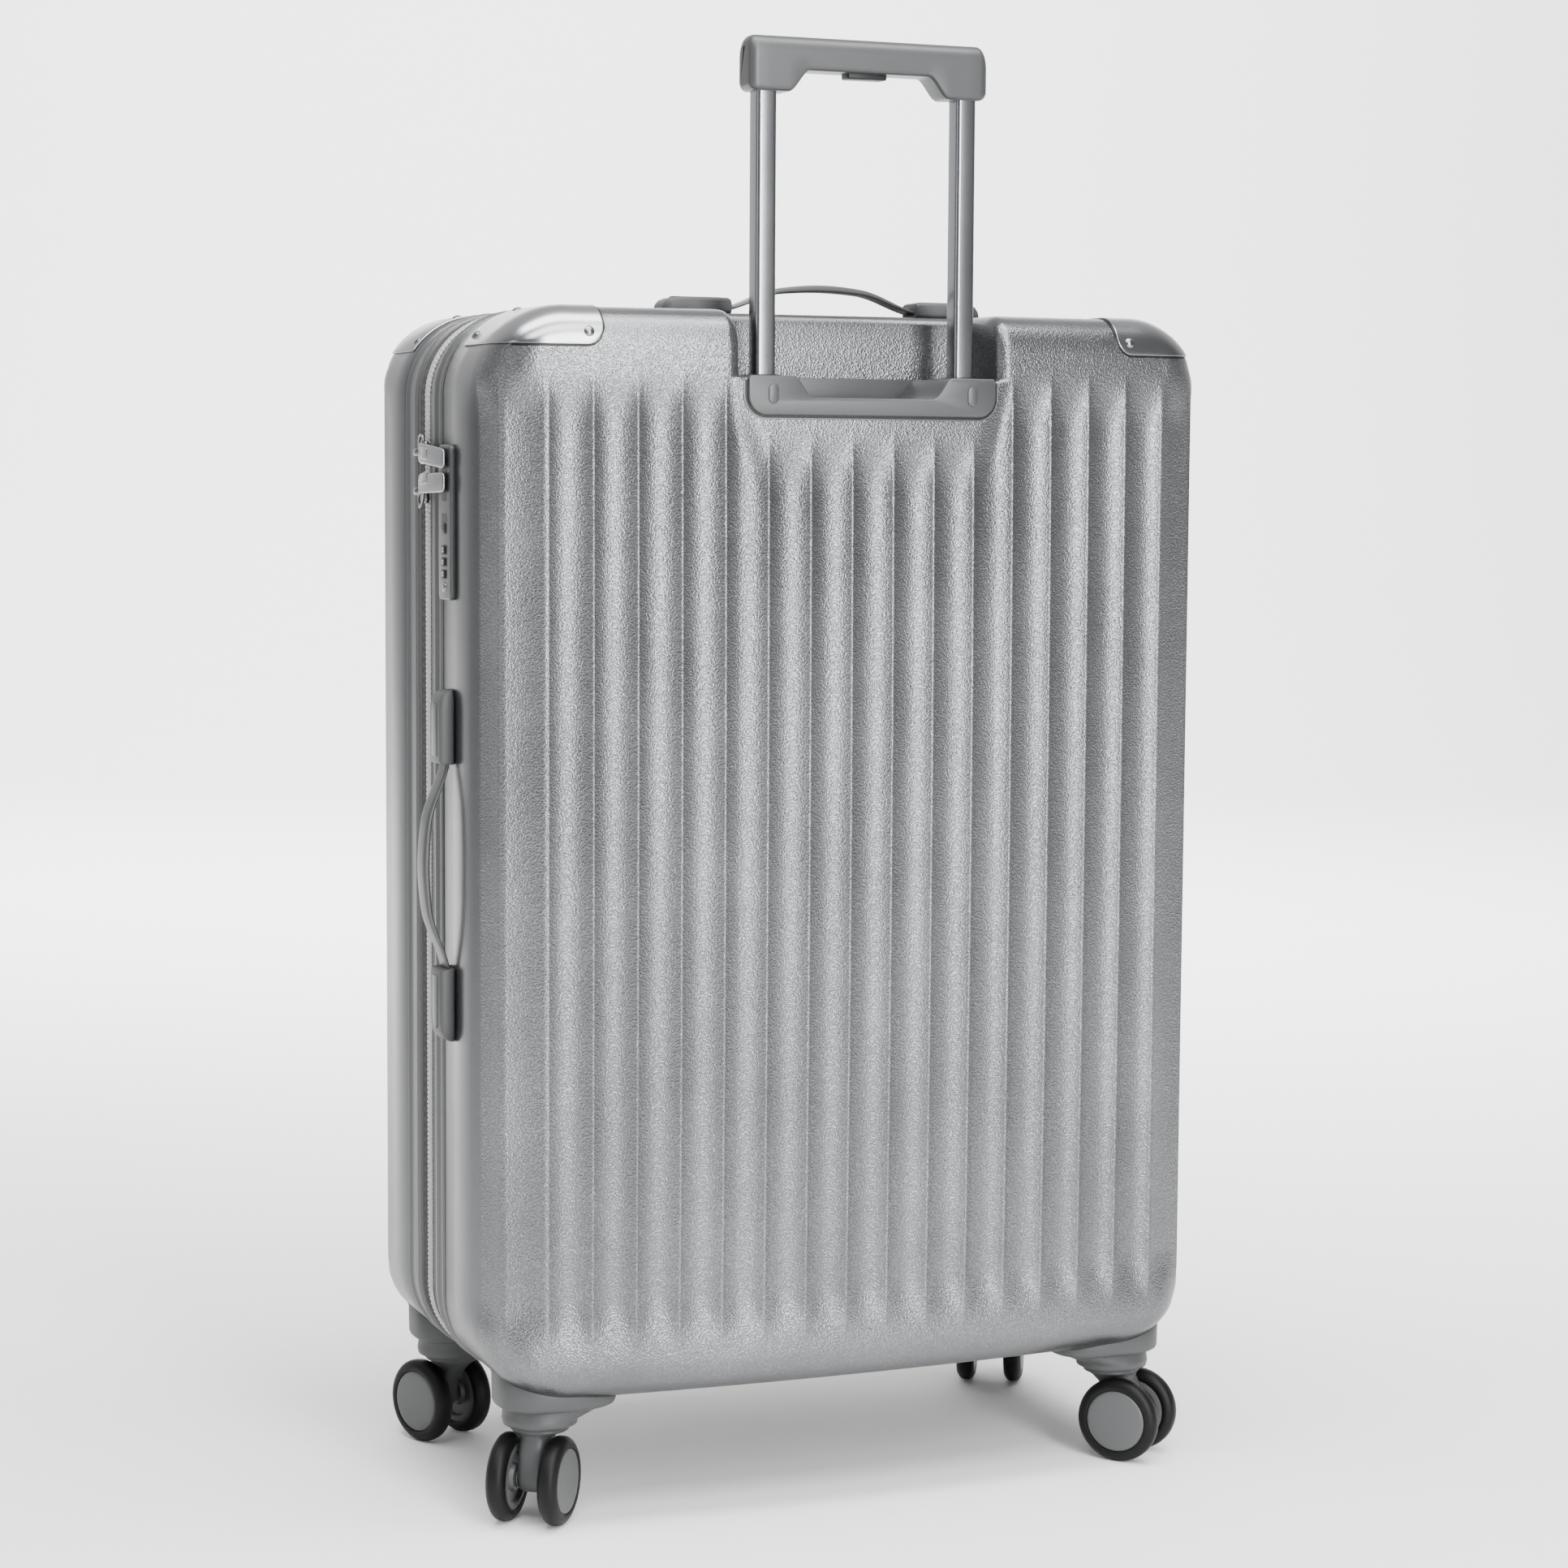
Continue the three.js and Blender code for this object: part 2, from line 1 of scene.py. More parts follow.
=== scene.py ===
"""Hard shell suitcase on casters: the visual model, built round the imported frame.

Lengths inside the classes are millimetres from the middle of the case at floor
level, with +X towards the lock side and +Y towards the trolley side. `Bench`
turns them into metres in the frame's own coordinates.
"""

import logging
import math
from dataclasses import dataclass
from enum import Enum
from typing import Callable, ClassVar, Sequence

import bmesh
import bpy
from mathutils import Matrix, Vector
from mathutils.bvhtree import BVHTree


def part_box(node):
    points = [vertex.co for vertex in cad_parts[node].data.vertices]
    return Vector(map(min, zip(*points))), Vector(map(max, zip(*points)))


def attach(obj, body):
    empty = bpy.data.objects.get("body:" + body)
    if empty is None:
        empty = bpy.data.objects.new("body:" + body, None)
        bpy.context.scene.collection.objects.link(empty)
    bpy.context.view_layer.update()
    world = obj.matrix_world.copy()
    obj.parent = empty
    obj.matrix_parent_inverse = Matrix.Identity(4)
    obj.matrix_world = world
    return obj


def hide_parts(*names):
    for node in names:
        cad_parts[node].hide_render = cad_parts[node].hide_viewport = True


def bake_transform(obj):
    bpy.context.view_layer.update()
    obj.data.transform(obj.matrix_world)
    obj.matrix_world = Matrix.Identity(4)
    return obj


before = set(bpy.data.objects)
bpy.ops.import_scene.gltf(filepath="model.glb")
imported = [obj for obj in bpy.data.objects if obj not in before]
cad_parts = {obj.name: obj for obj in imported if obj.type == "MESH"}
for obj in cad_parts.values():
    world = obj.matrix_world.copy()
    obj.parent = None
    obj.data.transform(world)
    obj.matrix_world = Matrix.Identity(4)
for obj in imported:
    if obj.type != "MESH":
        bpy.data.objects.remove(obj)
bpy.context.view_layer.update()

LOG = logging.getLogger("suitcase")
MM = 0.001
Ring = list[Vector]


# ------------------------------------------------------------------ materials


def linear(hex_colour: str) -> tuple[float, float, float, float]:
    """Turns an sRGB hex colour into linear RGBA.

    Args:
        hex_colour: six hex digits, such as "a4a6a8".

    Returns:
        The colour as four linear numbers, with alpha 1.
    """
    channels = [int(hex_colour[i:i + 2], 16) / 255 for i in (0, 2, 4)]
    values = [c / 12.92 if c <= 0.04045 else ((c + 0.055) / 1.055) ** 2.4 for c in channels]
    return (values[0], values[1], values[2], 1.0)


def add_node(tree: bpy.types.NodeTree, kind: str, inputs: dict | None = None, **settings) -> bpy.types.Node:
    """Adds a shader node with its settings, values and links.

    Args:
        tree: the node tree to add to.
        kind: the node's type name.
        inputs: value or source socket for each input, by the input's name or index.
        settings: attributes of the node itself.

    Returns:
        The new node.
    """
    node = tree.nodes.new(kind)
    for name, value in settings.items():
        setattr(node, name, value)
    for name, value in (inputs or {}).items():
        if isinstance(value, bpy.types.NodeSocket):
            tree.links.new(value, node.inputs[name])
        else:
            node.inputs[name].default_value = value
    return node


class Pattern(Enum):
    """Surface relief that a finish carries."""

    PEBBLE = "pebble"
    SPARK = "spark"
    BRUSHED = "brushed"
    WEAVE = "weave"
    TREAD = "tread"


@dataclass(frozen=True)
class Finish:
    """One finish: what the material is, its colour, gloss and relief.

    Sizes are real millimetres. `relief` is the height of the pattern, `cell` the
    size of one grain, thread or spark mark, and `mottle` how far the colour wanders.
    """

    name: str
    colour: str
    shade: str
    metallic: float
    roughness: float
    pattern: Pattern
    cell: float
    relief: float
    mottle: float = 0.5
    coat: float = 0.0
    sheen: float = 0.0
    specular: float = 0.5

    # The colour sockets of a Mix node, which share their names with its number sockets.
    MIX_A: ClassVar[int] = 6
    MIX_B: ClassVar[int] = 7
    MIX_RESULT: ClassVar[int] = 2

    def material(self) -> bpy.types.Material:
        """Returns the material, made once."""
        made = bpy.data.materials.get(self.name)
        return made or self._build()

    def _height(self, tree: bpy.types.NodeTree, place: bpy.types.NodeSocket) -> bpy.types.NodeSocket:
        """Adds the nodes of the relief pattern.

        Args:
            tree: the material's node tree.
            place: Object coordinates in metres.

        Returns:
            The socket with the height, from 0 to 1.
        """
        per_metre = 1000 / self.cell
        if self.pattern is Pattern.WEAVE:
            across = add_node(tree, "ShaderNodeTexWave", {"Vector": place, "Scale": per_metre / 20},
                              bands_direction="Y", wave_profile="SIN")
            diagonal = add_node(tree, "ShaderNodeMapping",
                              {"Vector": place, "Rotation": (0.0, math.radians(45), 0.0)})
            along = add_node(tree, "ShaderNodeTexWave",
                             {"Vector": diagonal.outputs["Vector"], "Scale": per_metre / 20 * 1.41},
                             bands_direction="X", wave_profile="SIN")
            return add_node(tree, "ShaderNodeMath", {0: across.outputs["Fac"], 1: along.outputs["Fac"]},
                            operation="MULTIPLY").outputs["Value"]
        if self.pattern is Pattern.BRUSHED:
            drawn = add_node(tree, "ShaderNodeMapping", {"Vector": place, "Scale": (1.0, 1.0, 0.02)})
            return add_node(tree, "ShaderNodeTexNoise", {
                "Vector": drawn.outputs["Vector"], "Scale": per_metre, "Detail": 3.0}).outputs["Fac"]
        if self.pattern is Pattern.PEBBLE:
            warp = add_node(tree, "ShaderNodeTexNoise",
                            {"Vector": place, "Scale": per_metre * 0.8, "Detail": 1.0})
            bent = add_node(tree, "ShaderNodeVectorMath",
                            {0: warp.outputs["Color"], 1: (0.0015, 0.0015, 0.0015)},
                            operation="MULTIPLY")
            moved = add_node(tree, "ShaderNodeVectorMath", {0: place, 1: bent.outputs["Vector"]},
                             operation="ADD")
            cells = add_node(tree, "ShaderNodeTexVoronoi", {
                "Vector": moved.outputs["Vector"], "Scale": per_metre, "Smoothness": 0.5},
                feature="SMOOTH_F1")
            grain = add_node(tree, "ShaderNodeAttribute", attribute_name="grain")
            amount = add_node(tree, "ShaderNodeMapRange",
                              {"Value": grain.outputs["Fac"], "To Min": 0.06, "To Max": 1.0})
            return add_node(tree, "ShaderNodeMath",
                            {0: cells.outputs["Distance"], 1: amount.outputs["Result"]},
                            operation="MULTIPLY").outputs["Value"]
        return add_node(tree, "ShaderNodeTexNoise", {
            "Vector": place, "Scale": per_metre, "Detail": 2.0, "Roughness": 0.5}).outputs["Fac"]

    def _build(self) -> bpy.types.Material:
        """Builds the node tree and returns the new material.

        Returns:
            The new material.
        """
        material = bpy.data.materials.new(self.name)
        material.use_nodes = True
        tree = material.node_tree
        tree.nodes.clear()
        place = add_node(tree, "ShaderNodeTexCoord").outputs["Object"]
        height = self._height(tree, place)
        drift = add_node(tree, "ShaderNodeTexNoise",
                         {"Vector": place, "Scale": 9.0, "Detail": 4.0, "Roughness": 0.6})
        blend = add_node(tree, "ShaderNodeMath",
                         {0: height, 1: drift.outputs["Fac"]}, operation="MULTIPLY")
        spread = add_node(tree, "ShaderNodeMapRange", {
            "Value": blend.outputs["Value"], "From Min": 0.1, "From Max": 0.6,
            "To Min": 0.5 - self.mottle / 2, "To Max": 0.5 + self.mottle / 2})
        ramp = add_node(tree, "ShaderNodeMix", {
            "Factor": spread.outputs["Result"], self.MIX_A: linear(self.shade),
            self.MIX_B: linear(self.colour)},
            data_type="RGBA")
        gloss = add_node(tree, "ShaderNodeMapRange", {
            "Value": drift.outputs["Fac"], "From Min": 0.3, "From Max": 0.7,
            "To Min": self.roughness * 0.92, "To Max": min(1.0, self.roughness * 1.1)})
        bump = add_node(tree, "ShaderNodeBump", {
            "Height": height, "Strength": 1.0, "Distance": self.relief * MM})
        shader = add_node(tree, "ShaderNodeBsdfPrincipled", {
            "Base Color": ramp.outputs[self.MIX_RESULT], "Roughness": gloss.outputs["Result"],
            "Normal": bump.outputs["Normal"], "Metallic": self.metallic,
            "Coat Weight": self.coat, "Coat Roughness": 0.25, "Specular IOR Level": self.specular,
            "Sheen Weight": self.sheen})
        add_node(tree, "ShaderNodeOutputMaterial", {"Surface": shader.outputs["BSDF"]})
        return material


# Moulded polycarbonate under a silver film: satin, with a fine pebble that glints.
# The real grain is about 0.6 mm; it is drawn at 1.15 mm so that it shows.
SHELL_FILM = Finish("silver_film_polycarbonate", "868789", "5f6062", 0.92, 0.30, Pattern.PEBBLE, 1.2,
                    0.27, 0.9)
# Moulded ABS with a spark-eroded satin skin, drawn at 0.9 mm.
SATIN_ABS = Finish("satin_grey_abs", "444546", "3d3e3f", 0.4, 0.4, Pattern.SPARK, 0.9, 0.03, 0.6)
# The same ABS where it is left flat: handle mounts, caster mouldings and forks.
MATT_ABS = Finish("matt_grey_abs", "444546", "3b3c3d", 0.1, 0.5, Pattern.SPARK, 0.9, 0.03, 0.6, specular=0.35)
# Extruded piping, a little glossier than the shell, with no pebble.
PIPING = Finish("satin_extruded_piping", "5a5b5c", "505152", 0.45, 0.34, Pattern.SPARK, 1.2, 0.02, 0.5)
# Pressed aluminium, bead blasted and lacquered.
PRESSED_ALUMINIUM = Finish("blasted_aluminium", "98999b", "88898b", 1.0, 0.25, Pattern.SPARK, 0.5, 0.01, 0.4)
# Drawn tube, brushed along its length and bright anodised.
ANODISED_TUBE = Finish("bright_anodised_tube", "96979a", "8a8b8e", 1.0, 0.22, Pattern.BRUSHED, 0.35,
                       0.006, 0.4)
DARK_SLEEVE = Finish("black_anodised_sleeve", "3a3b3d", "2e2f30", 0.8, 0.4, Pattern.BRUSHED, 0.35, 0.006, 0.4)
# Woven polyester tape, 1.1 mm rib, which scatters light at grazing angles.
ZIP_TAPE = Finish("woven_polyester_tape", "333333", "1e1e1e", 0.0, 0.85, Pattern.WEAVE, 1.1, 0.25, 0.9,
                  sheen=0.1)
NYLON_COIL = Finish("nylon_coil", "b4b4b4", "929292", 0.0, 0.36, Pattern.SPARK, 0.6, 0.02, 0.6)
PLATED_ZINC = Finish("satin_plated_zinc", "87888a", "77787a", 1.0, 0.26, Pattern.SPARK, 0.5, 0.01, 0.4)
# Dark ABS for the dark mouldings. The same finish is also the painted shade in the rim gaps, under the guard
# edges, round the caster mouldings and round the bezel.
DARK_ABS_AND_SHADE = Finish("dark_abs_and_painted_shade", "101112", "0b0c0d", 0.0, 0.45, Pattern.SPARK, 0.6, 0.03, 0.6, specular=0.3)
WHEEL_ABS = Finish("wheel_disc_abs", "4d4e4f", "464748", 0.15, 0.46, Pattern.SPARK, 0.8, 0.03, 0.6)
# Cast polyurethane tread: matt, with a mottled tone.
TYRE_PU = Finish("cast_polyurethane", "080809", "050505", 0.0, 0.5, Pattern.TREAD, 0.7, 0.05, 0.9,
                 specular=0.2)
LINING_CLOTH = Finish("polyester_lining", "5c5e61", "46484b", 0.0, 0.8, Pattern.WEAVE, 1.2, 0.12, 0.8,
                      sheen=0.4)
WEBBING = Finish("strap_webbing", "2f3032", "222325", 0.0, 0.8, Pattern.WEAVE, 1.6, 0.4, 0.9, sheen=0.3)
NUMERAL_PAINT = Finish("painted_numerals", "e8e8e6", "d8d8d6", 0.0, 0.5, Pattern.SPARK, 0.5, 0.01, 0.2)


# ------------------------------------------------------------------ mesh tools


@dataclass
class Bench:
    """Where finished meshes become pieces of the frame.

    `centre` is the middle of the case at floor level, in metres.
    """

    centre: Vector

    def piece(self, bm: bmesh.types.BMesh, name: str, body: str, finish: Finish, slot: str,
              stands_for: Sequence[str] = (), sharp: float = 40.0) -> bpy.types.Object:
        """Turns a mesh into a piece that rides on a body.

        Args:
            bm: the mesh in case millimetres; it is freed.
            name: the piece's name.
            body: the CAD body that carries it.
            finish: its finish.
            slot: not used.
            stands_for: CAD nodes that it replaces.
            sharp: edges turned by more than this many degrees stay sharp.

        Returns:
            The new object.
        """
        piece = self._object(bm, name, finish, stands_for, sharp)
        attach(piece, body)
        LOG.info("%s on %s: %d faces", name, body, len(piece.data.polygons))
        return piece

    def free_piece(self, bm: bmesh.types.BMesh, name: str, finish: Finish,
                   stands_for: Sequence[str], sharp: float = 60.0) -> bpy.types.Object:
        """Turns a mesh into a piece that rides on no body, for the fabric hinge.

        Args:
            bm: the mesh in case millimetres; it is freed.
            name: the piece's name.
            finish: its finish.
            stands_for: CAD nodes that it replaces.
            sharp: edges turned by more than this many degrees stay sharp.

        Returns:
            The new object.
        """
        return self._object(bm, name, finish, stands_for, sharp)

    def point(self, x: float, y: float, z: float) -> Vector:
        """Turns case millimetres into a point of the frame."""
        return self.centre + Vector((x, y, z)) * MM

    def _object(self, bm: bmesh.types.BMesh, name: str, finish: Finish,
                stands_for: Sequence[str], sharp: float) -> bpy.types.Object:
        """Makes the object of a piece, smooth but for its sharp edges, with its finish.

        Args:
            bm: the mesh, freed here.
            name: its name.
            finish: its finish.
            stands_for: the CAD nodes it replaces.
            sharp: the angle in degrees from which an edge stays sharp.

        Returns:
            The object.
        """
        bm.transform(Matrix.Translation(self.centre) @ Matrix.Scale(MM, 4))
        for face in bm.faces:
            face.smooth = True
        for edge in bm.edges:
            if len(edge.link_faces) == 2:
                edge.smooth = edge.calc_face_angle(0.0) < math.radians(sharp)
        mesh = bpy.data.meshes.new(name)
        bm.to_mesh(mesh)
        bm.free()
        mesh.materials.append(finish.material())
        piece = bpy.data.objects.new(name, mesh)
        bpy.context.scene.collection.objects.link(piece)
        if stands_for:
            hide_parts(*stands_for)
        return piece


def thicken(piece: bpy.types.Object, thickness: float, offset: float = -1.0) -> None:
    """Gives a one-face-thick piece its wall.

    Args:
        piece: the piece.
        thickness: the wall in millimetres.
        offset: -1 grows the wall inward, 0 to both sides.
    """
    wall = piece.modifiers.new("wall", "SOLIDIFY")
    wall.thickness, wall.offset = thickness * MM, offset


def turned(bm: bmesh.types.BMesh, profile: Sequence[tuple[float, float]], steps: int,
           frame_matrix: Matrix) -> None:
    """Spins a closed-off profile about local Z and puts the solid in place.

    Args:
        bm: the mesh to add to.
        profile: (radius, height) points from one end of the axis to the other.
        steps: facets round the axis.
        frame_matrix: where the solid's local frame stands.
    """
    made = bmesh.ops.create_vert(bm, co=(profile[0][0], 0.0, profile[0][1]))["vert"]
    verts, edges = [made[0]], []
    for radius, height in profile[1:]:
        out = bmesh.ops.extrude_vert_indiv(bm, verts=[verts[-1]])
        out["verts"][0].co = (radius, 0.0, height)
        verts.append(out["verts"][0])
        edges += out["edges"]
    before = set(bm.verts) - set(verts)
    bmesh.ops.spin(bm, geom=verts + edges, cent=(0, 0, 0), axis=(0, 0, 1),
                   angle=2 * math.pi, steps=steps, use_merge=True)
    fresh = [v for v in bm.verts if v not in before]
    bmesh.ops.remove_doubles(bm, verts=fresh, dist=1e-4)
    fresh = [v for v in bm.verts if v not in before]
    bmesh.ops.transform(bm, matrix=frame_matrix, verts=fresh)


def rounded_block(bm: bmesh.types.BMesh, low: Sequence[float], high: Sequence[float], radius: float,
                  segments: int = 3) -> list[bmesh.types.BMVert]:
    """Adds a box with all its edges rounded.

    Args:
        bm: the mesh to add to.
        low: its lowest corner.
        high: its highest corner.
        radius: edge radius.
        segments: facets across each rounded edge.

    Returns:
        The vertices that were added.
    """
    before = set(bm.verts)
    size = [h - l for l, h in zip(low, high)]
    middle = [(h + l) / 2 for l, h in zip(low, high)]
    matrix = Matrix.Translation(middle) @ Matrix.Diagonal((*size, 1.0))
    made = bmesh.ops.create_cube(bm, size=1.0, matrix=matrix)
    edges = list({edge for vert in made["verts"] for edge in vert.link_edges})
    bmesh.ops.bevel(bm, geom=edges, offset=radius, segments=segments, profile=0.5,
                    affect="EDGES", material=-1)
    return [v for v in bm.verts if v not in before]


def rounded_rect(u0: float, u1: float, v0: float, v1: float, radius: float, steps: int = 4,
                 ) -> list[tuple[float, float]]:
    """Returns the points of a rectangle with round corners, anticlockwise.

    Args:
        u0: lowest first coordinate.
        u1: highest first coordinate.
        v0: lowest second coordinate.
        v1: highest second coordinate.
        radius: corner radius.
        steps: segments per corner.

    Returns:
        The points, anticlockwise.
    """
    points = []
    for k, (cu, cv) in enumerate(((u1 - radius, v0 + radius), (u1 - radius, v1 - radius),
                                  (u0 + radius, v1 - radius), (u0 + radius, v0 + radius))):
        for i in range(steps + 1):
            angle = math.radians(90 * (k - 1) + 90 * i / steps)
            points.append((cu + radius * math.cos(angle), cv + radius * math.sin(angle)))
    return points


def plate(bm: bmesh.types.BMesh, outline: Sequence[Vector], push: Vector, radius: float,
          segments: int = 3) -> None:
    """Adds a slab: an outline pushed along a vector, with its two rims rounded.

    Args:
        bm: the mesh to add to.
        outline: the outline's points in order.
        push: thickness and direction.
        radius: radius of both rims, or 0 for none.
        segments: facets across each rounded rim.
    """
    made = bmesh.ops.create_circle(bm, cap_ends=True, segments=len(outline), radius=1.0)["verts"]
    for vert, point in zip(made, outline):
        vert.co = point
    face = made[0].link_faces[0]
    out = bmesh.ops.extrude_face_region(bm, geom=[face])["geom"]
    fresh = [item for item in out if isinstance(item, bmesh.types.BMVert)]
    bmesh.ops.translate(bm, verts=fresh, vec=push)
    if radius > 0:
        both = set(made) | set(fresh)
        rims = [e for e in {e for v in both for e in v.link_edges}
                if (e.verts[0] in set(fresh)) == (e.verts[1] in set(fresh))]
        bmesh.ops.bevel(bm, geom=rims, offset=radius, segments=segments, profile=0.5,
                        affect="EDGES", material=-1, clamp_overlap=True)
    bmesh.ops.recalc_face_normals(bm, faces=bm.faces)


def basis(along: Vector, out: Vector, across: Vector, origin: Vector) -> Matrix:
    """Returns the matrix whose local axes are along, out and across, at an origin."""
    matrix = Matrix((along, out, across)).transposed().to_4x4()
    return Matrix.Translation(origin) @ matrix


# ------------------------------------------------------------------ case surface


@dataclass
class CaseSurface:
    """The outer surface of the case, which everything on it follows."""

    half_width: float = 262.0
    half_depth: float = 140.0
    crown: float = 12.0
    crown_up: float = 3.0
    base_z: float = 84.0
    top_z: float = 802.0
    corner: float = 57.0
    plan: float = 40.0
    roll: float = 25.0
    pitch: float = 29.5
    flute: float = 4.5
    flute_low: float = 112.0
    flute_high: float = 768.0
    scoop: float = 42.0

    @property
    def middle_z(self) -> float:
        """Height of the case's middle."""
        return (self.base_z + self.top_z) / 2

    @property
    def flat_x(self) -> float:
        """Half width of the face, up to where it rolls into the sides."""
        return self.half_width - self.plan

    def column_at(self, length: float) -> float:
        """Returns the x that lies this far along the face from its middle.

        Args:
            length: how far along the face, from its middle.

        Returns:
            The column x.
        """
        beyond = abs(length) - self.flat_x
        if beyond <= 0:
            return length
        return math.copysign(self.flat_x + self.plan * math.sin(min(beyond / self.plan, math.pi / 2)), length)

    def length_at(self, x: float) -> float:
        """Returns how far along the face x lies from its middle.

        Args:
            x: column of the grid, sideways from the case's middle.

        Returns:
            How far along the face it lies, from its middle.
        """
        beyond = abs(x) - self.flat_x
        if beyond <= 0:
            return x
        return math.copysign(self.flat_x + self.plan * math.asin(min(1.0, beyond / self.plan)), x)

    def squeeze(self, x: float, z: float) -> tuple[float, float]:
        """Moves a point of the square grid in behind the case's round corners.

        Args:
            x: column of the grid, sideways from the case's middle.
            z: row of the grid, height above the floor.

        Returns:
            The point, moved in where the corner is round.
        """
        cx = self.half_width - self.corner
        cz = self.top_z - self.middle_z - self.corner
        a = max(0.0, (abs(x) - cx) / self.corner)
        b = max(0.0, (abs(z - self.middle_z) - cz) / self.corner)
        if a <= 0 or b <= 0:
            return x, z
        new_x = cx + self.corner * a * math.sqrt(max(0.0, 1 - b * b / 2))
        new_z = cz + self.corner * b * math.sqrt(max(0.0, 1 - a * a / 2))
        return math.copysign(new_x, x), self.middle_z + math.copysign(new_z, z - self.middle_z)

    def angles(self, x: float, z: float) -> tuple[float, float]:
        """Returns how far the surface has rolled over at a grid point, sideways and up or down.

        Args:
            x: column of the grid, sideways from the case's middle.
            z: row of the grid, height above the floor.

        Returns:
            The two angles, sideways and up or down.
        """
        side = min(1.0, max(0.0, (abs(x) - self.flat_x) / self.plan))
        ends = min(1.0,
                   max(0.0, (abs(z - self.middle_z) - (self.top_z - self.middle_z) + self.roll) / self.roll))
        return math.asin(side), math.asin(ends)

    def groove(self, x: float, z: float, high: float) -> float:
        """Returns the depth of the flutes at a grid point, for a row of flutes that ends at `high`.

        Args:
            x: column of the grid, sideways from the case's middle.
            z: row of the grid, height above the floor.
            high: where the row of flutes ends.

        Returns:
            The depth of the flutes there.
        """
        length = self.length_at(x)
        corner_edge = self.flat_x + self.plan * math.pi / 2
        first = 7.5 * self.pitch
        if abs(length) <= first:
            offset = (length / self.pitch - round(length / self.pitch)) * self.pitch
            half = self.pitch / 2
        else:
            half = (corner_edge - first) / 4
            step = (abs(length) - first) / (2 * half)
            offset = (step - min(1, math.floor(step)) - 0.5) * 2 * half
        near = min(z - self.flute_low, high - z)
        if near <= 0:
            return 0.0
        part = min(1.0, near / self.scoop)
        radius = (half * half + self.flute ** 2) / (2 * self.flute)
        depth = math.sqrt(max(0.0, radius * radius - offset * offset)) - (radius - self.flute)
        return depth * part * part * (3 - 2 * part)

    def point(self, x: float, z: float, sign: float, lift: float = 0.0, sunk: float = 0.0) -> Vector:
        """Places a grid point on the outer surface.

        Args:
            x: grid column, in the flat frame of the face.
            z: grid row.
            sign: +1 for the back half, -1 for the front half.
            lift: distance outside the surface.
            sunk: depth below the surface, along its normal.

        Returns:
            The point.
        """
        side, ends = self.angles(x, z)
        weight = side / (side + ends) if side + ends > 0 else 0.0
        drop_max = weight * self.plan + (1 - weight) * self.roll
        drop = drop_max * (1 - math.cos(side) * math.cos(ends))
        span = min(1.0, abs(x) / self.flat_x)
        rise = min(1.0, abs(z - self.middle_z) / (self.top_z - self.middle_z - self.roll))
        bulge = self.crown * (1 - span ** 2) + self.crown_up * (1 - rise ** 2) * (1 - span ** 4)
        flat_x, flat_z = self.squeeze(x, z)
        normal = Vector((math.copysign(math.sin(side), x), sign * math.cos(side) * math.cos(ends) + 1e-9,
                         math.copysign(math.sin(ends), z - self.middle_z)))
        if side > 0 and ends > 0:
            away = Vector((flat_x - math.copysign(self.half_width - self.corner, x), 0.0,
                           flat_z - self.middle_z - math.copysign(
                               self.top_z - self.middle_z - self.corner, z - self.middle_z)))
            tilt = math.sqrt(max(0.0, 1 - (math.cos(side) * math.cos(ends)) ** 2))
            if away.length > 0:
                normal = away.normalized() * tilt
                normal.y = sign * math.cos(side) * math.cos(ends)
        normal.normalize()
        base = Vector((flat_x, sign * (self.half_depth + bulge - drop), flat_z))
        return base + normal * (lift - sunk)

    def outline(self, inset: float, y: float, per_corner: int = 10, per_side: int = 6) -> Ring:
        """Returns a ring round the case at one y, set in from its sides.

        Args:
            inset: how far in from the case's sides.
            y: where the ring lies.
            per_corner: segments per corner.
            per_side: segments per straight side.

        Returns:
            The ring.
        """
        radius = self.corner - inset
        half = self.half_width - inset
        low, high = self.base_z + inset, self.top_z - inset
        centres = ((half - radius, high - radius), (radius - half, high - radius),
                   (radius - half, low + radius), (half - radius, low + radius))
        ring = []
        for k, (cx, cz) in enumerate(centres):
            arc = [math.radians(90 * k + 90 * i / per_corner) for i in range(per_corner + 1)]
            ring += [Vector((cx + radius * math.cos(a), y, cz + radius * math.sin(a))) for a in arc]
            nx, nz = centres[(k + 1) % 4]
            turn = math.radians(90 * (k + 1))
            reach = Vector((radius * math.cos(turn), 0.0, radius * math.sin(turn)))
            first, last = Vector((cx, y, cz)) + reach, Vector((nx, y, nz)) + reach
            ring += [first.lerp(last, i / per_side) for i in range(1, per_side)]
        return ring


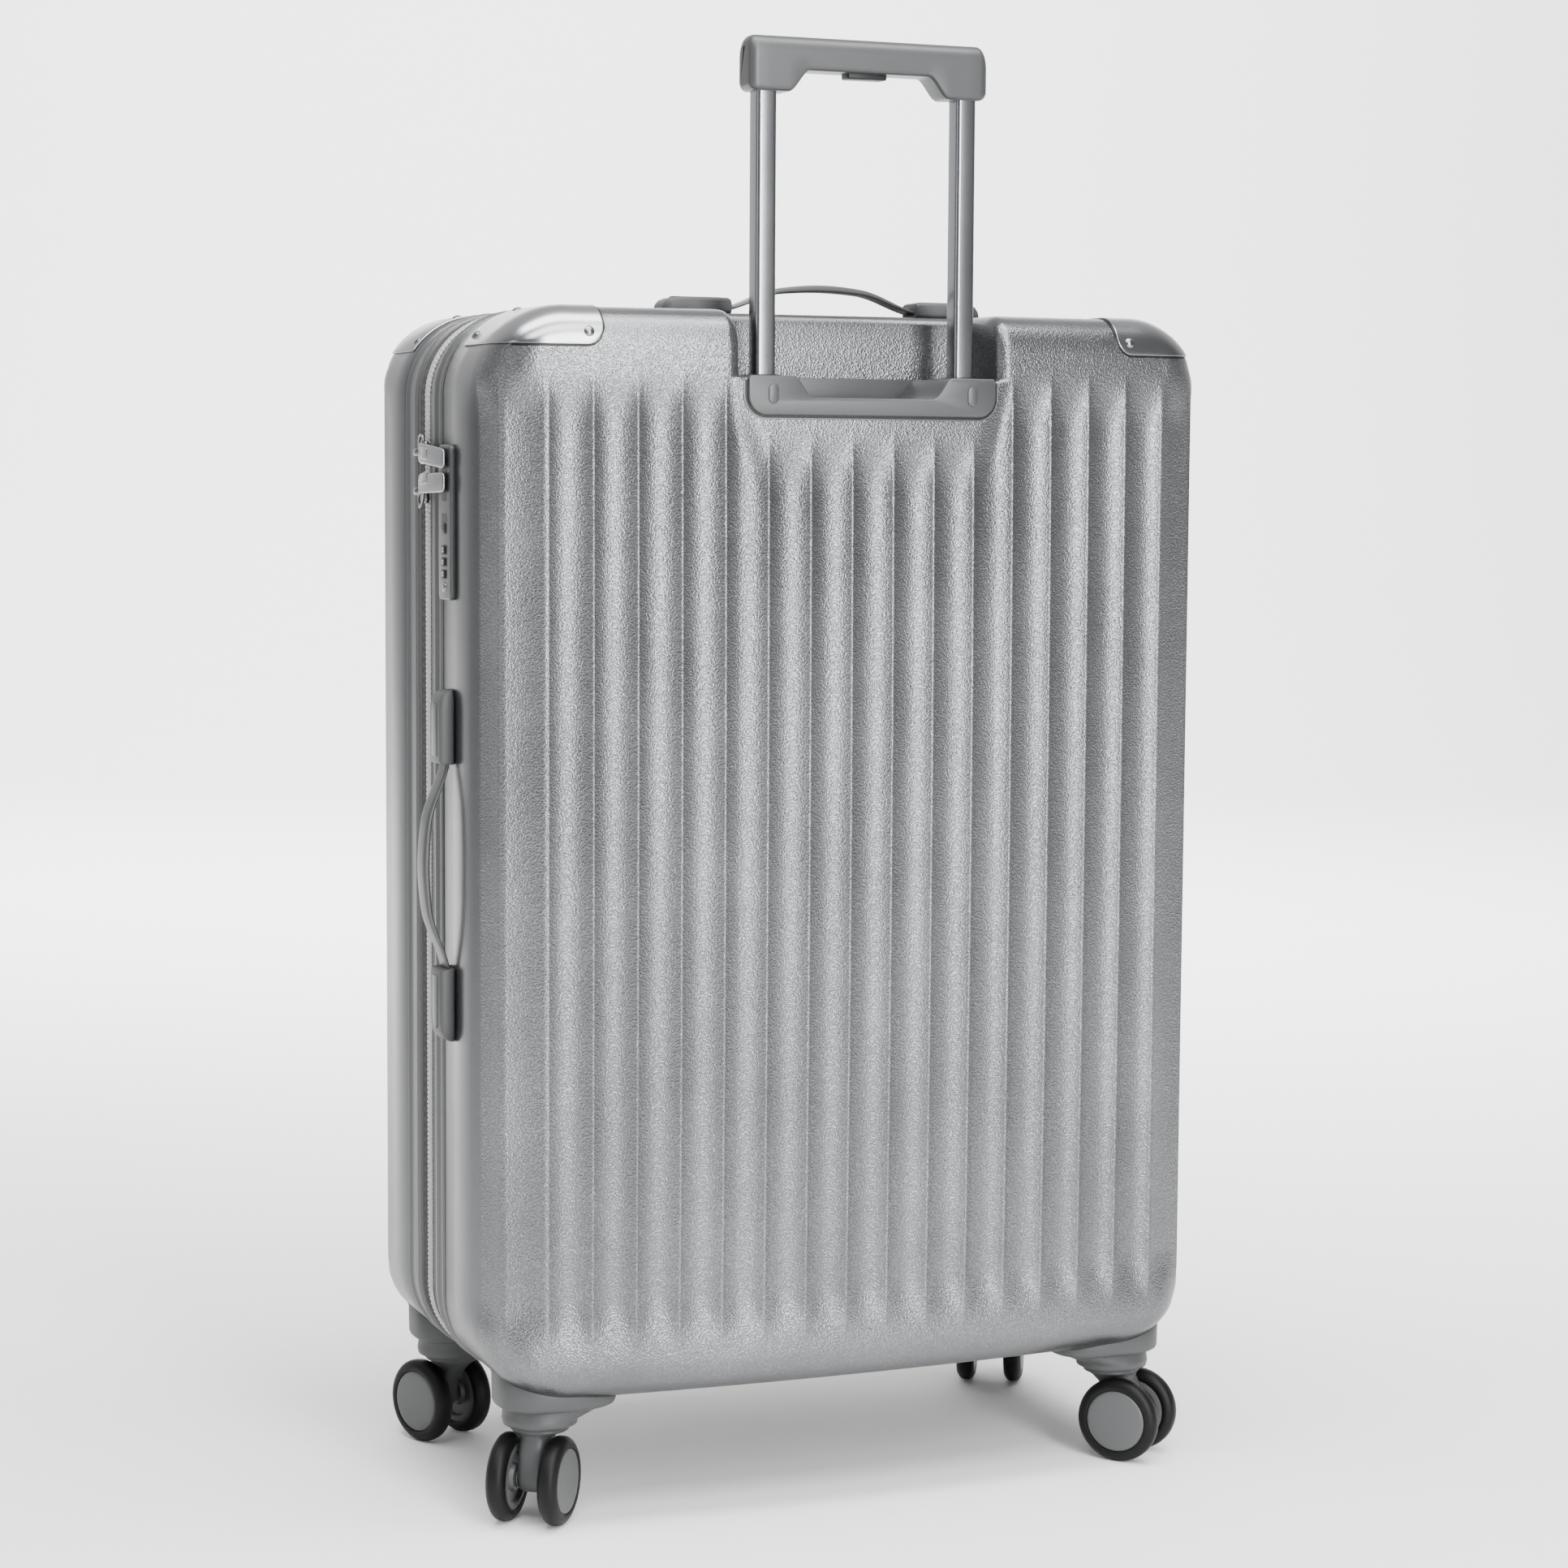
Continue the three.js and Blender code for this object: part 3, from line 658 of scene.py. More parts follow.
@dataclass
class Shell:
    """One fluted half of the case."""

    surface: CaseSurface
    sign: float
    mouth: float
    wall: float = 2.4
    notch_half: float = 92.5
    notch_y: float = 85.0
    notch_roll: float = 9.0
    ledge_half: float = 78.0
    ledge_z: tuple[float, float] = (739.0, 757.4)
    under_bezel: float = 725.0

    @property
    def recessed(self) -> bool:
        """Whether this half has the trolley recess."""
        return self.sign > 0

    def columns(self) -> list[float]:
        """Chooses the grid's columns: close together at the ridges, the roll and the recess.

        Returns:
            The columns, in order.
        """
        surface = self.surface
        marks = [0.0, 0.17, 0.3, 0.4, 0.465, 0.5, 0.535, 0.6, 0.7, 0.83]
        lengths = {round((k + mark) * surface.pitch, 3) for k in range(7) for mark in marks}
        lengths |= {round((7 + mark) * surface.pitch, 3) for mark in marks[:6]}
        first = 7.5 * surface.pitch
        width = (surface.flat_x + surface.plan * math.pi / 2 - first) / 2
        lengths |= {first + width * (k + i / 9) for k in range(2) for i in range(1, 10)}
        columns = {round(surface.column_at(length), 4) for length in lengths}
        if self.recessed:
            columns |= {self.ledge_half, self.ledge_half + 0.5, self.notch_half, self.notch_half + 0.4}
            columns |= {self.notch_half + self.notch_roll * part for part in (0.12, 0.3, 0.55, 0.8, 1.0)}
        ordered = sorted(columns)
        kept = [ordered[0]]
        for value in ordered[1:]:
            if value - kept[-1] > 0.25:
                kept.append(value)
        kept[-1] = surface.half_width
        return [-value for value in reversed(kept[1:])] + kept

    def rows(self) -> list[float]:
        """Chooses the grid's rows: close together where the flutes end and at the rolled edges.

        Returns:
            The rows, in order.
        """
        surface = self.surface
        turn = [surface.roll * math.sin(math.radians(90 * i / 7)) for i in range(1, 8)]
        low_start, high_start = surface.base_z + surface.roll, surface.top_z - surface.roll
        rows = {low_start - step for step in turn} | {high_start + step for step in turn}
        rows |= {low_start, high_start}
        rows |= {surface.flute_low + 3.6 * i for i in range(13)}
        rows |= {surface.flute_high - 3.6 * i for i in range(13)}
        start = surface.flute_low + 48
        end = surface.flute_high - 45
        if self.recessed:
            rows |= {self.under_bezel - 3.6 * i for i in range(13)}
            rows |= {self.ledge_z[0], self.ledge_z[0] + 0.5, self.ledge_z[1], self.ledge_z[1] + 0.5}
            rows |= {self.surface.top_z - 8 + 8 * math.sin(math.radians(90 * i / 4)) for i in range(4)}
            rows |= {self.under_bezel + 5 * i for i in range(1, 10)}
            end = self.under_bezel - 47
        rows |= {start + (end - start) * i / 14 for i in range(15)}
        rows |= {surface.flute_high + 5}
        ordered = sorted(rows)
        kept = [ordered[0]]
        for value in ordered[1:]:
            if value - kept[-1] > 0.3:
                kept.append(value)
        kept[0], kept[-1] = surface.base_z, surface.top_z
        return kept

    def flutes_end(self, x: float) -> float:
        """Returns the height where the flutes end at column x.

        Args:
            x: column of the grid, sideways from the case's middle.

        Returns:
            The height where the flutes end.
        """
        if not self.recessed:
            return self.surface.flute_high
        pitch = self.surface.pitch
        start, end = 2.5 * pitch, 3.5 * pitch
        part = min(1.0, max(0.0, (abs(x) - start) / (end - start)))
        ease = part * part * (3 - 2 * part)
        return self.under_bezel + (self.surface.flute_high - self.under_bezel) * ease

    def in_notch(self, x: float, z: float) -> bool:
        """Whether a grid point lies in the trolley recess.

        Args:
            x: column of the grid, sideways from the case's middle.
            z: row of the grid, height above the floor.

        Returns:
            Whether the point lies in the recess.
        """
        if not self.recessed:
            return False
        wide = abs(x) <= self.notch_half + 0.1 and z >= self.ledge_z[1] + 0.3
        low = abs(x) <= self.ledge_half + 0.1 and z >= self.ledge_z[0] + 0.3
        return wide or low

    def surface_point(self, x: float, z: float) -> Vector:
        """Places a grid point on this half, flutes and recess included.

        Args:
            x: column of the grid, sideways from the case's middle.
            z: row of the grid, height above the floor.

        Returns:
            The point on this half.
        """
        surface = self.surface
        if self.in_notch(x, z):
            over = min(1.0, max(0.0, (z - surface.top_z + 8) / 8))
            return Vector((x, self.notch_y - 8 * (1 - math.sqrt(1 - over * over)), z))
        sunk = surface.groove(x, z, self.flutes_end(x))
        point = surface.point(x, z, self.sign, sunk=sunk)
        beside = abs(x) - self.notch_half
        if self.recessed and 0 <= beside < self.notch_roll and z > self.ledge_z[1]:
            rolled = self.notch_roll - beside
            drop = self.notch_roll - math.sqrt(max(0.0, self.notch_roll ** 2 - rolled ** 2))
            _, ends = surface.angles(x, z)
            point.y -= drop * math.cos(ends)
            point.z -= drop * math.sin(ends)
        return point

    def mesh(self) -> bmesh.types.BMesh:
        """Builds the half: a face grid bent over the edges, then pulled down to the mouth.

        Returns:
            The mesh, one face thick.
        """
        columns, rows = self.columns(), self.rows()
        bm = bmesh.new()
        bmesh.ops.create_grid(bm, x_segments=len(columns) - 1, y_segments=len(rows) - 1, size=1.0)
        surface = self.surface
        grain = bm.verts.layers.float.new("grain")
        for vert in bm.verts:
            i = round((vert.co.x + 1) / 2 * (len(columns) - 1))
            j = round((vert.co.y + 1) / 2 * (len(rows) - 1))
            vert.co = self.surface_point(columns[i], rows[j])
            side, ends = surface.angles(columns[i], rows[j])
            vert[grain] = max(0.0, min(1.0, (math.radians(80) - side) / 0.08)) * max(0.0, 1.0 - 0.7 * ends)
        edges = [edge for edge in bm.edges if edge.is_boundary]
        for y, inset in ((74.0, 0.0), (abs(self.mouth) + 1.6, 0.0), (abs(self.mouth), 1.2)):
            grown = bmesh.ops.extrude_edge_only(bm, edges=edges)["geom"]
            fresh = [item for item in grown if isinstance(item, bmesh.types.BMVert)]
            marked = set(fresh)
            edges = [item for item in grown if isinstance(item, bmesh.types.BMEdge)
                     and item.verts[0] in marked and item.verts[1] in marked]
            for vert in fresh:
                vert[grain] = 0.0
                vert.co.y = self.sign * y
                if y < 75.0 and abs(vert.co.x) < surface.half_width - surface.corner:
                    vert.co.z = surface.top_z if vert.co.z > surface.middle_z else surface.base_z
                cz = surface.middle_z
                scale_x = (surface.half_width - inset) / surface.half_width
                half_z = surface.top_z - cz
                vert.co.x *= scale_x
                vert.co.z = cz + (vert.co.z - cz) * (half_z - inset) / half_z
        bmesh.ops.recalc_face_normals(bm, faces=bm.faces)
        outward = sum((f.normal.y * f.calc_area() for f in bm.faces), 0.0)
        if outward * self.sign < 0:
            bmesh.ops.reverse_faces(bm, faces=bm.faces)
        return bm

    def build(self, bench: Bench, name: str, body: str) -> None:
        """Builds and dresses this half.

        Args:
            bench: where pieces are placed.
            name: the CAD node that it stands for.
            body: the body that carries it.
        """
        piece = bench.piece(self.mesh(), f"{name}_skin", body, SHELL_FILM, "shell", [name], sharp=89)
        thicken(piece, self.wall)


def lofted(bm: bmesh.types.BMesh, rings: Sequence[Ring], closed: bool = False, capped: bool = True,
           round_trip: bool = True) -> list[bmesh.types.BMVert]:
    """Stretches a skin over rings that all have the same number of points.

    Args:
        bm: the mesh to add to.
        rings: the rings in order, each a list of points in the same order.
        closed: joins the last ring to the first.
        capped: closes the two ends, if they are open.
        round_trip: joins each ring's last point to its first.

    Returns:
        The vertices that were added.
    """
    across = len(rings[0]) - (0 if round_trip else 1)
    along = len(rings) - (0 if closed else 1)
    before = set(bm.verts)
    made = bmesh.ops.create_grid(bm, x_segments=across, y_segments=along, size=1.0)["verts"]
    for vert in made:
        i = round((vert.co.x + 1) / 2 * across) % len(rings[0])
        j = round((vert.co.y + 1) / 2 * along) % len(rings)
        vert.co = rings[j][i]
    bmesh.ops.remove_doubles(bm, verts=made, dist=1e-4)
    fresh = [v for v in bm.verts if v not in before]
    if capped and not closed:
        open_edges = list({e for v in fresh for e in v.link_edges if e.is_boundary})
        if open_edges:
            bmesh.ops.edgeloop_fill(bm, edges=open_edges)
    return fresh


def squared_ring(half_u: float, half_v: float, power: float, steps: int,
                 place: Callable[[float, float], Vector]) -> Ring:
    """Returns a superellipse: an ellipse at power 2, nearly a rectangle at power 6.

    Args:
        half_u: half the first width.
        half_v: half the second width.
        power: 2 for an ellipse, more for squarer.
        steps: number of points.
        place: puts a pair of coordinates in space.

    Returns:
        The ring.
    """
    ring = []
    for i in range(steps):
        angle = 2 * math.pi * i / steps
        c, s = math.cos(angle), math.sin(angle)
        u = math.copysign(abs(c) ** (2 / power), c) * half_u
        v = math.copysign(abs(s) ** (2 / power), s) * half_v
        ring.append(place(u, v))
    return ring


@dataclass
class Seam:
    """Rims, zipper tapes and coil that run round the mouths of the two halves."""

    surface: CaseSurface
    seam_y: float = 1.75
    tooth_pitch: float = 3.2
    tooth_from: float = 2.45
    hinge_low: float = 150.0
    hinge_high: float = 736.0

    def band(self, bench: Bench, name: str, body: str, finish: Finish, slot: str,
             profile: Sequence[tuple[float, float]]) -> None:
        """Builds a closed hoop from (y, inset) points, and stands it in for a CAD node.

        Args:
            bench: where pieces are placed.
            name: the CAD node that it stands for.
            body: the body that carries it.
            finish: its finish.
            slot: the slot's name, passed on to `Bench.piece`.
            profile: its section as (y, inset) points.
        """
        bm = bmesh.new()
        lofted(bm, [self.surface.outline(inset, y) for y, inset in profile], closed=True)
        bmesh.ops.recalc_face_normals(bm, faces=bm.faces)
        bench.piece(bm, f"{name}_hoop", body, finish, slot, [name], sharp=50)

    def hoops(self, bench: Bench) -> None:
        """Builds the two rims, the two zipper tapes, and by each rim a dark hoop of painted shade in its
        groove.

        Args:
            bench: where pieces are placed.
        """
        for name, body, sign, start, end in (("back_rim", "case", 1, 21.3, 41.7),
                                             ("front_rim", "lid", -1, 18.0, 45.7)):
            lip = [(end, 3.2), (end - 0.7, 1.9), (end - 1.1, 0.4), (end - 2.0, -0.6), (end - 3.4, -1.0),
                   (end - 4.8, -0.6), (end - 5.6, 0.4), (end - 6.4, 0.9), (start + 7.4, 0.9),
                   (start + 6.6, 0.3), (start + 5.4, -0.7), (start + 3.4, -1.1), (start + 1.6, -0.8),
                   (start + 0.5, 0.1), (start, 1.4), (start, 3.0)]
            self.band(bench, name, body, PIPING, "rim", [(sign * y, inset) for y, inset in lip])
            # A thin dark hoop is painted into the groove between each shell's mouth and its rim: painted
            # shade, not a part.
            gap = bmesh.new()
            lofted(gap, [self.surface.outline(inset, sign * y) for y, inset in (
                (end + 1.3, 0.75), (end - 1.3, 0.35), (end - 1.3, 2.0), (end + 1.3, 2.0))], closed=True)
            bmesh.ops.recalc_face_normals(gap, faces=gap.faces)
            bench.piece(gap, f"{name}_gap", body, DARK_ABS_AND_SHADE, "dark_plastic", sharp=50)
        for name, body, sign, start, end in (("zip_tape_back", "case", 1, 1.95, 21.0),
                                             ("zip_tape_front", "lid", -1, -1.55, 17.7)):
            tape = [(end, 4.2), (end, 1.6), (end - 1.5, 1.0), (end - 5.5, 1.0), (end - 6.5, 1.7),
                    (start + 7.0, 1.9), (start + 6.0, 2.2), (start + 1.0, 2.4), (start, 2.9), (start, 4.4)]
            self.band(bench, name, body, ZIP_TAPE, "tape", [(sign * y, inset) for y, inset in tape])

    def coil(self, bench: Bench) -> None:
        """Builds the two rows of coil as beaded cords, except along the hinge side.

        Args:
            bench: where pieces are placed.
        """
        path = self.surface.outline(1.5, self.seam_y, per_corner=40, per_side=60)
        path.append(path[0])
        lengths = [0.0]
        for a, b in zip(path, path[1:]):
            lengths.append(lengths[-1] + (b - a).length)
        total = lengths[-1]
        hinge = [at for at, spot in zip(lengths, path) if spot.x < 1.0 - self.surface.half_width + 1.5
                 and self.hinge_low < spot.z < self.hinge_high]
        start, end = max(hinge), min(hinge) + total
        beads = int((end - start) / self.tooth_pitch)
        for sign, name, body in ((1.0, "coil_back", "case"), (-1.0, "coil_front", "lid")):
            rings, index = [], 0
            for step in range(4 * beads + 1):
                at = start + (end - start) * step / (4 * beads)
                if at >= total:
                    at -= total
                    index = 0 if lengths[index] > at else index
                while lengths[index + 1] < at:
                    index += 1
                near, far = path[index], path[index + 1]
                spot = near.lerp(far, (at - lengths[index]) / (lengths[index + 1] - lengths[index]))
                along = (far - near).normalized()
                outward = Vector((along.z, 0.0, -along.x))
                swell = (1.0, 0.85, 0.3, 0.85)[step % 4]
                ring = []
                for k in range(8):
                    angle = math.pi * k / 4
                    across = 2.45 * (0.7 + 0.3 * swell) * math.cos(angle)
                    shift = Vector((0.0, across + sign * self.tooth_from, 0.0))
                    ring.append(spot + outward * (1.35 * swell * math.sin(angle) - 0.3)
                                + along * (-0.5 * sign * across) + shift)
                rings.append(ring)
            bm = bmesh.new()
            lofted(bm, rings)
            bmesh.ops.recalc_face_normals(bm, faces=bm.faces)
            bench.piece(bm, name, body, NYLON_COIL, "tape", sharp=80)

    def hinge(self, bench: Bench) -> None:
        """Builds the fabric hinge between the two halves, as one fixed sheet.

        Args:
            bench: where pieces are placed.
        """
        x = 4.0 - self.surface.half_width
        span = self.hinge_high - self.hinge_low
        heights = [self.hinge_low + span * k / 60 for k in range(61)]
        bm = bmesh.new()
        rings = []
        for i in range(25):
            y = 18.0 - 32.0 * i / 24
            rings.append([Vector((x + 0.25 * math.cos(z / 4), y, z)) for z in heights])
        lofted(bm, rings, capped=False, round_trip=False)
        bmesh.ops.solidify(bm, geom=list(bm.faces), thickness=0.9)
        bmesh.ops.recalc_face_normals(bm, faces=bm.faces)
        piece = bench.free_piece(bm, "hinge_fabric", ZIP_TAPE, ["hinge_tape"])
        bench.point(x, 7.0, 443)
        bench.point(x, -3.5, 443)
        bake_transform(piece)

    def build(self, bench: Bench) -> None:
        """Builds the whole seam.

        Args:
            bench: where pieces are placed.
        """
        self.hoops(bench)
        self.coil(bench)
        self.hinge(bench)


@dataclass
class CornerGuard:
    """Pressed metal guard over one top corner, riveted on."""

    surface: CaseSurface
    side: float
    sign: float
    inner_x: float = 185.0
    drop: float = 25.0
    reach_y: float = 60.0
    round_corner: float = 11.0
    gauge: float = 1.2
    lift: float = 1.25
    # How far the painted shadow line reaches out past the guard's edges.
    gap: float = 1.5

    def patch_row(self, x: float, part: float) -> float:
        """Returns the grid row at this part of the way up the guard, above its level lower edge.

        Args:
            x: column of the grid, sideways from the case's middle.
            part: how far up the guard, from 0 to 1.

        Returns:
            The row of the grid.
        """
        cx = self.surface.half_width - self.surface.corner
        across = max(0.0, (x - cx) / self.surface.corner)
        low = self.surface.top_z - self.surface.corner + self.surface.corner * min(
            1.0, (self.surface.corner - self.drop) / self.surface.corner / math.sqrt(1 - across * across / 2))
        cut = 0.0
        from_end = x - self.inner_x
        if from_end < self.round_corner:
            short = self.round_corner - from_end
            cut = self.round_corner - math.sqrt(max(0.0, self.round_corner ** 2 - short ** 2))
        return low + cut + (self.surface.top_z - low - cut) * part

    def build(self, bench: Bench, node: str, body: str) -> None:
        """Builds the guard, its rivets, and a dark sheet of painted shadow under its edges.

        Args:
            bench: where pieces are placed.
            node: the CAD node that it stands for.
            body: the body that carries it.
        """
        piece = bench.piece(self.skin(0.0, self.lift), f"{node}_plate", body, PRESSED_ALUMINIUM, "guard",
                            [node], sharp=50)
        thicken(piece, self.gauge)
        edge = piece.modifiers.new("edge", "BEVEL")
        edge.width, edge.segments, edge.limit_method = 0.45 * MM, 2, "ANGLE"
        edge.angle_limit = math.radians(50)
        # A dark sheet just under the guard, reaching past its edges, is painted shade: the shadow line under
        # the guard's edge.
        bench.piece(self.skin(self.gap, 0.4), f"{node}_gap", body, DARK_ABS_AND_SHADE, "dark_plastic", sharp=50)
        self.rivets(bench, node, body)

    def skin(self, grow: float, lift: float) -> bmesh.types.BMesh:
        """Builds the guard's outer skin, or, grown and lowered, the sheet of painted shadow under it.

        Args:
            grow: how far its free edges reach past the guard's own.
            lift: its distance outside the shell.

        Returns:
            The mesh, one face thick.
        """
        surface = self.surface
        starts = [-grow, 0.5, 1.6, 3.4, 6.0, 9.0]
        width = surface.half_width - self.inner_x
        bend = surface.length_at(self.inner_x + 11.5)
        reach = surface.length_at(surface.half_width) - bend
        columns = [self.inner_x + value for value in starts]
        columns += [surface.column_at(bend + reach * i / 20) for i in range(21)]
        columns[-1] = self.inner_x + width
        parts = [math.sin(math.radians(90 * i / 12)) for i in range(13)]
        bm = bmesh.new()
        rings = []
        for part in parts + [None]:
            ring = []
            for x in columns + [None]:
                at = columns[-1] if x is None else x
                point = surface.point(at, self.patch_row(at, 1.0 if part is None else part), self.sign,
                                      lift=lift)
                if part == 0.0:
                    point.z -= grow
                if part is None or x is None:
                    point.y = self.sign * (self.reach_y - grow)
                ring.append(Vector((point.x * self.side, point.y, point.z)))
            rings.append(ring)
        lofted(bm, rings, capped=False, round_trip=False)
        bmesh.ops.recalc_face_normals(bm, faces=bm.faces)
        probe = max(bm.faces, key=lambda f: f.calc_center_median().z)
        if probe.normal.z < 0:
            bmesh.ops.reverse_faces(bm, faces=bm.faces)
        return bm

    def rivets(self, bench: Bench, node: str, body: str) -> None:
        """Builds the rivets that hold the guard.

        Args:
            bench: where pieces are placed.
            node: the CAD node of the guard.
            body: the body that carries them.
        """
        surface = self.surface
        rivets = bmesh.new()
        spots = []
        x = self.inner_x + 9.5
        row = surface.top_z - self.drop + 8.0
        spot = surface.point(x, row, self.sign, lift=1.2)
        spots.append((spot, spot - surface.point(x, row, self.sign, lift=0.2)))
        spots.append((Vector((self.inner_x + 9, self.sign * (self.reach_y + 8), surface.top_z + 1.2)),
                      Vector((0, 0, 1))))
        corner = surface.half_width - surface.corner
        reach = surface.corner + 1.2
        for angle in (76.0, 43.0):
            c, s = math.cos(math.radians(angle)), math.sin(math.radians(angle))
            spots.append((Vector((corner + reach * c, self.sign * (self.reach_y + 8),
                                  surface.top_z - surface.corner + reach * s)), Vector((c, 0, s))))
        for spot, out in spots:
            spot = Vector((spot.x * self.side, spot.y, spot.z))
            out = Vector((out.x * self.side, out.y, out.z)).normalized()
            matrix = Matrix.Translation(spot) @ out.to_track_quat("Z", "Y").to_matrix().to_4x4()
            turned(rivets,
                   [(0.0, 1.5), (1.3, 1.35), (2.5, 0.95), (3.3, 0.3), (3.6, 0.05), (3.6, -1.0), (0.0, -1.0)],
                   16, matrix)
        bmesh.ops.recalc_face_normals(rivets, faces=rivets.faces)
        bench.piece(rivets, f"{node}_rivets", body, PLATED_ZINC, "guard", sharp=60)


@dataclass
class Caster:
    """One twin-wheel swivel caster and the moulding that holds it."""

    surface: CaseSurface
    name: str
    side: float
    sign: float
    heading: float
    floor_of: Callable[[float, float], float]
    swivel_x: float = 214.0
    swivel_y: float = 100.0
    trail: float = 13.0
    wheel_radius: float = 29.5
    wheel_width: float = 14.0
    wheel_gap: float = 18.0
    disc_radius: float = 22.0

    def housing(self, bench: Bench, body: str) -> None:
        """Builds the corner moulding: a lobed skirt that follows the shell, round a boss, with a line of
        painted shade round its foot.

        Args:
            bench: where pieces are placed.
            body: the body that carries it.
        """
        steps = 56
        bm = bmesh.new()

        def lobe(grow: float, z: float | None, sink: float = 0.0) -> Ring:
            """Makes a ring of the skirt.

            Args:
                grow: how far outside the skirt's own line.
                z: its height, or None for a ring that lies on the shell.
                sink: how far such a ring goes up into the shell.

            Returns:
                The ring.
            """
            ring = []
            for i in range(steps):
                angle = 2 * math.pi * i / steps
                c, s = math.cos(angle), math.sin(angle)
                u = math.copysign(abs(c) ** 0.72, c) * (40.5 + grow)
                v = math.copysign(abs(s) ** 0.72, s) * (32.0 + grow)
                x, y = 204.0 + u, 99.0 + v
                height = self.floor_of(x * self.side, y * self.sign)
                ring.append(Vector((x, y, height + sink if z is None else min(z, height - 0.6))))
            return ring

        def boss(radius: float, z: float) -> Ring:
            """Makes a ring of the round boss.

            Args:
                radius: its radius.
                z: its height.

            Returns:
                The ring.
            """
            return [Vector((self.swivel_x + radius * math.cos(2 * math.pi * i / steps),
                            self.swivel_y + radius * math.sin(2 * math.pi * i / steps),
                            z)) for i in range(steps)]

        def between(a: Ring, b: Ring, part: float) -> Ring:
            """Ring part of the way between two rings."""
            return [p.lerp(q, part) for p, q in zip(a, b)]

        low, high = boss(25.6, 68.4), lobe(-7.0, 76.4)
        rings = [boss(19.0, 64.2), boss(23.6, 64.2), boss(24.8, 64.8), boss(25.2, 66.2), low,
                 between(low, high, 0.18), between(low, high, 0.5), between(low, high, 0.85), high,
                 lobe(-3.0, 76.9), lobe(-0.9, 78.2), lobe(0.0, 80.4), lobe(0.3, None, -1.2),
                 lobe(0.0, None, -0.2),
                 lobe(-1.2, None, 0.4)]
        lofted(bm, rings, capped=False)
        bmesh.ops.transform(bm, matrix=Matrix.Diagonal((self.side, self.sign, 1.0, 1.0)), verts=bm.verts)
        bmesh.ops.recalc_face_normals(bm, faces=bm.faces)
        probe = min(bm.faces, key=lambda f: f.calc_center_median().z)
        if probe.normal.z > 0:
            bmesh.ops.reverse_faces(bm, faces=bm.faces)
        # A thin dark band round the foot of the skirt, where it meets the shell, is painted shade along the
        # joint.
        seam = bmesh.new()
        lofted(seam,
               [lobe(0.9, None, -0.9), lobe(0.9, None, 0.5), lobe(-0.6, None, 0.9),
                lobe(-0.6, None, -0.9)], closed=True)
        bmesh.ops.transform(seam, matrix=Matrix.Diagonal((self.side, self.sign, 1.0, 1.0)), verts=seam.verts)
        bmesh.ops.recalc_face_normals(seam, faces=seam.faces)
        bench.piece(seam, f"housing_{self.name}_joint_shade", body, DARK_ABS_AND_SHADE, "dark_plastic", sharp=50)
        bench.piece(bm, f"housing_{self.name}", body, MATT_ABS, "plastic",
                    [f"caster_housing_{self.name}"], sharp=50)

    def swivel(self) -> Matrix:
        """Returns where the swivelling parts stand, with the trail along local X."""
        spot = Vector((self.side * self.swivel_x, self.sign * self.swivel_y, 0.0))
        return Matrix.Translation(spot) @ Matrix.Rotation(math.radians(self.heading), 4, "Z")

    def fork(self, bench: Bench) -> None:
        """Builds the leg between the wheels, with its axle.

        Args:
            bench: where pieces are placed.
        """
        steps = 36
        levels = [(63.7, 0, 12, 12, 2), (63.7, 0, 18.8, 18.8, 2), (63.3, 0, 19.6, 19.6, 2),
                  (61.2, 0, 20, 20, 2),
                  (60.3, 0, 19.4, 19.2, 2), (59.0, 0.4, 17.6, 14.6, 2.3), (56.5, 2.4, 15.6, 10.6, 2.8),
                  (53.0, 5.4, 14.2, 9.5, 3.4), (48.0, 8.6, 12.0, 9.2, 4), (42.0, 11.3, 10.2, 9.2, 4),
                  (35.0, 12.6, 9.3, 9.2, 4), (29.5, 13.0, 9.0, 9.2, 4), (25.0, 13.0, 7.9, 9.0, 4),
                  (22.2, 13.0, 5.6, 8.4, 3.4), (20.8, 13.0, 2.6, 7.4, 3), (20.5, 13.0, 0.6, 6.6, 3)]
        bm = bmesh.new()
        lofted(bm, [squared_ring(hu, hv, power, steps, lambda u, v, t=t, z=z: Vector((t + u, v, z)))
                    for z, t, hu, hv, power in levels])
        reach = self.wheel_gap + 3.0
        turned(bm, [(0.0, -reach), (2.9, -reach), (2.9, reach), (0.0, reach)], 14,
               Matrix.Translation((self.trail, 0, self.wheel_radius)) @ Matrix.Rotation(math.pi / 2, 4, "X"))
        for sign in (1, -1):
            turned(bm, [(0.0, 0.0), (6.5, 0.0), (6.5, 1.1), (5.2, 1.4), (0.0, 1.4)], 20,
                   Matrix.Translation((self.trail, sign * 9.0, self.wheel_radius))
                   @ Matrix.Rotation(-sign * math.pi / 2, 4, "X"))
        bmesh.ops.transform(bm, matrix=self.swivel(), verts=bm.verts)
        bmesh.ops.recalc_face_normals(bm, faces=bm.faces)
        bench.piece(bm, f"fork_{self.name}", f"caster_{self.name}", MATT_ABS, "plastic",
                    [f"caster_fork_{self.name}"], sharp=45)

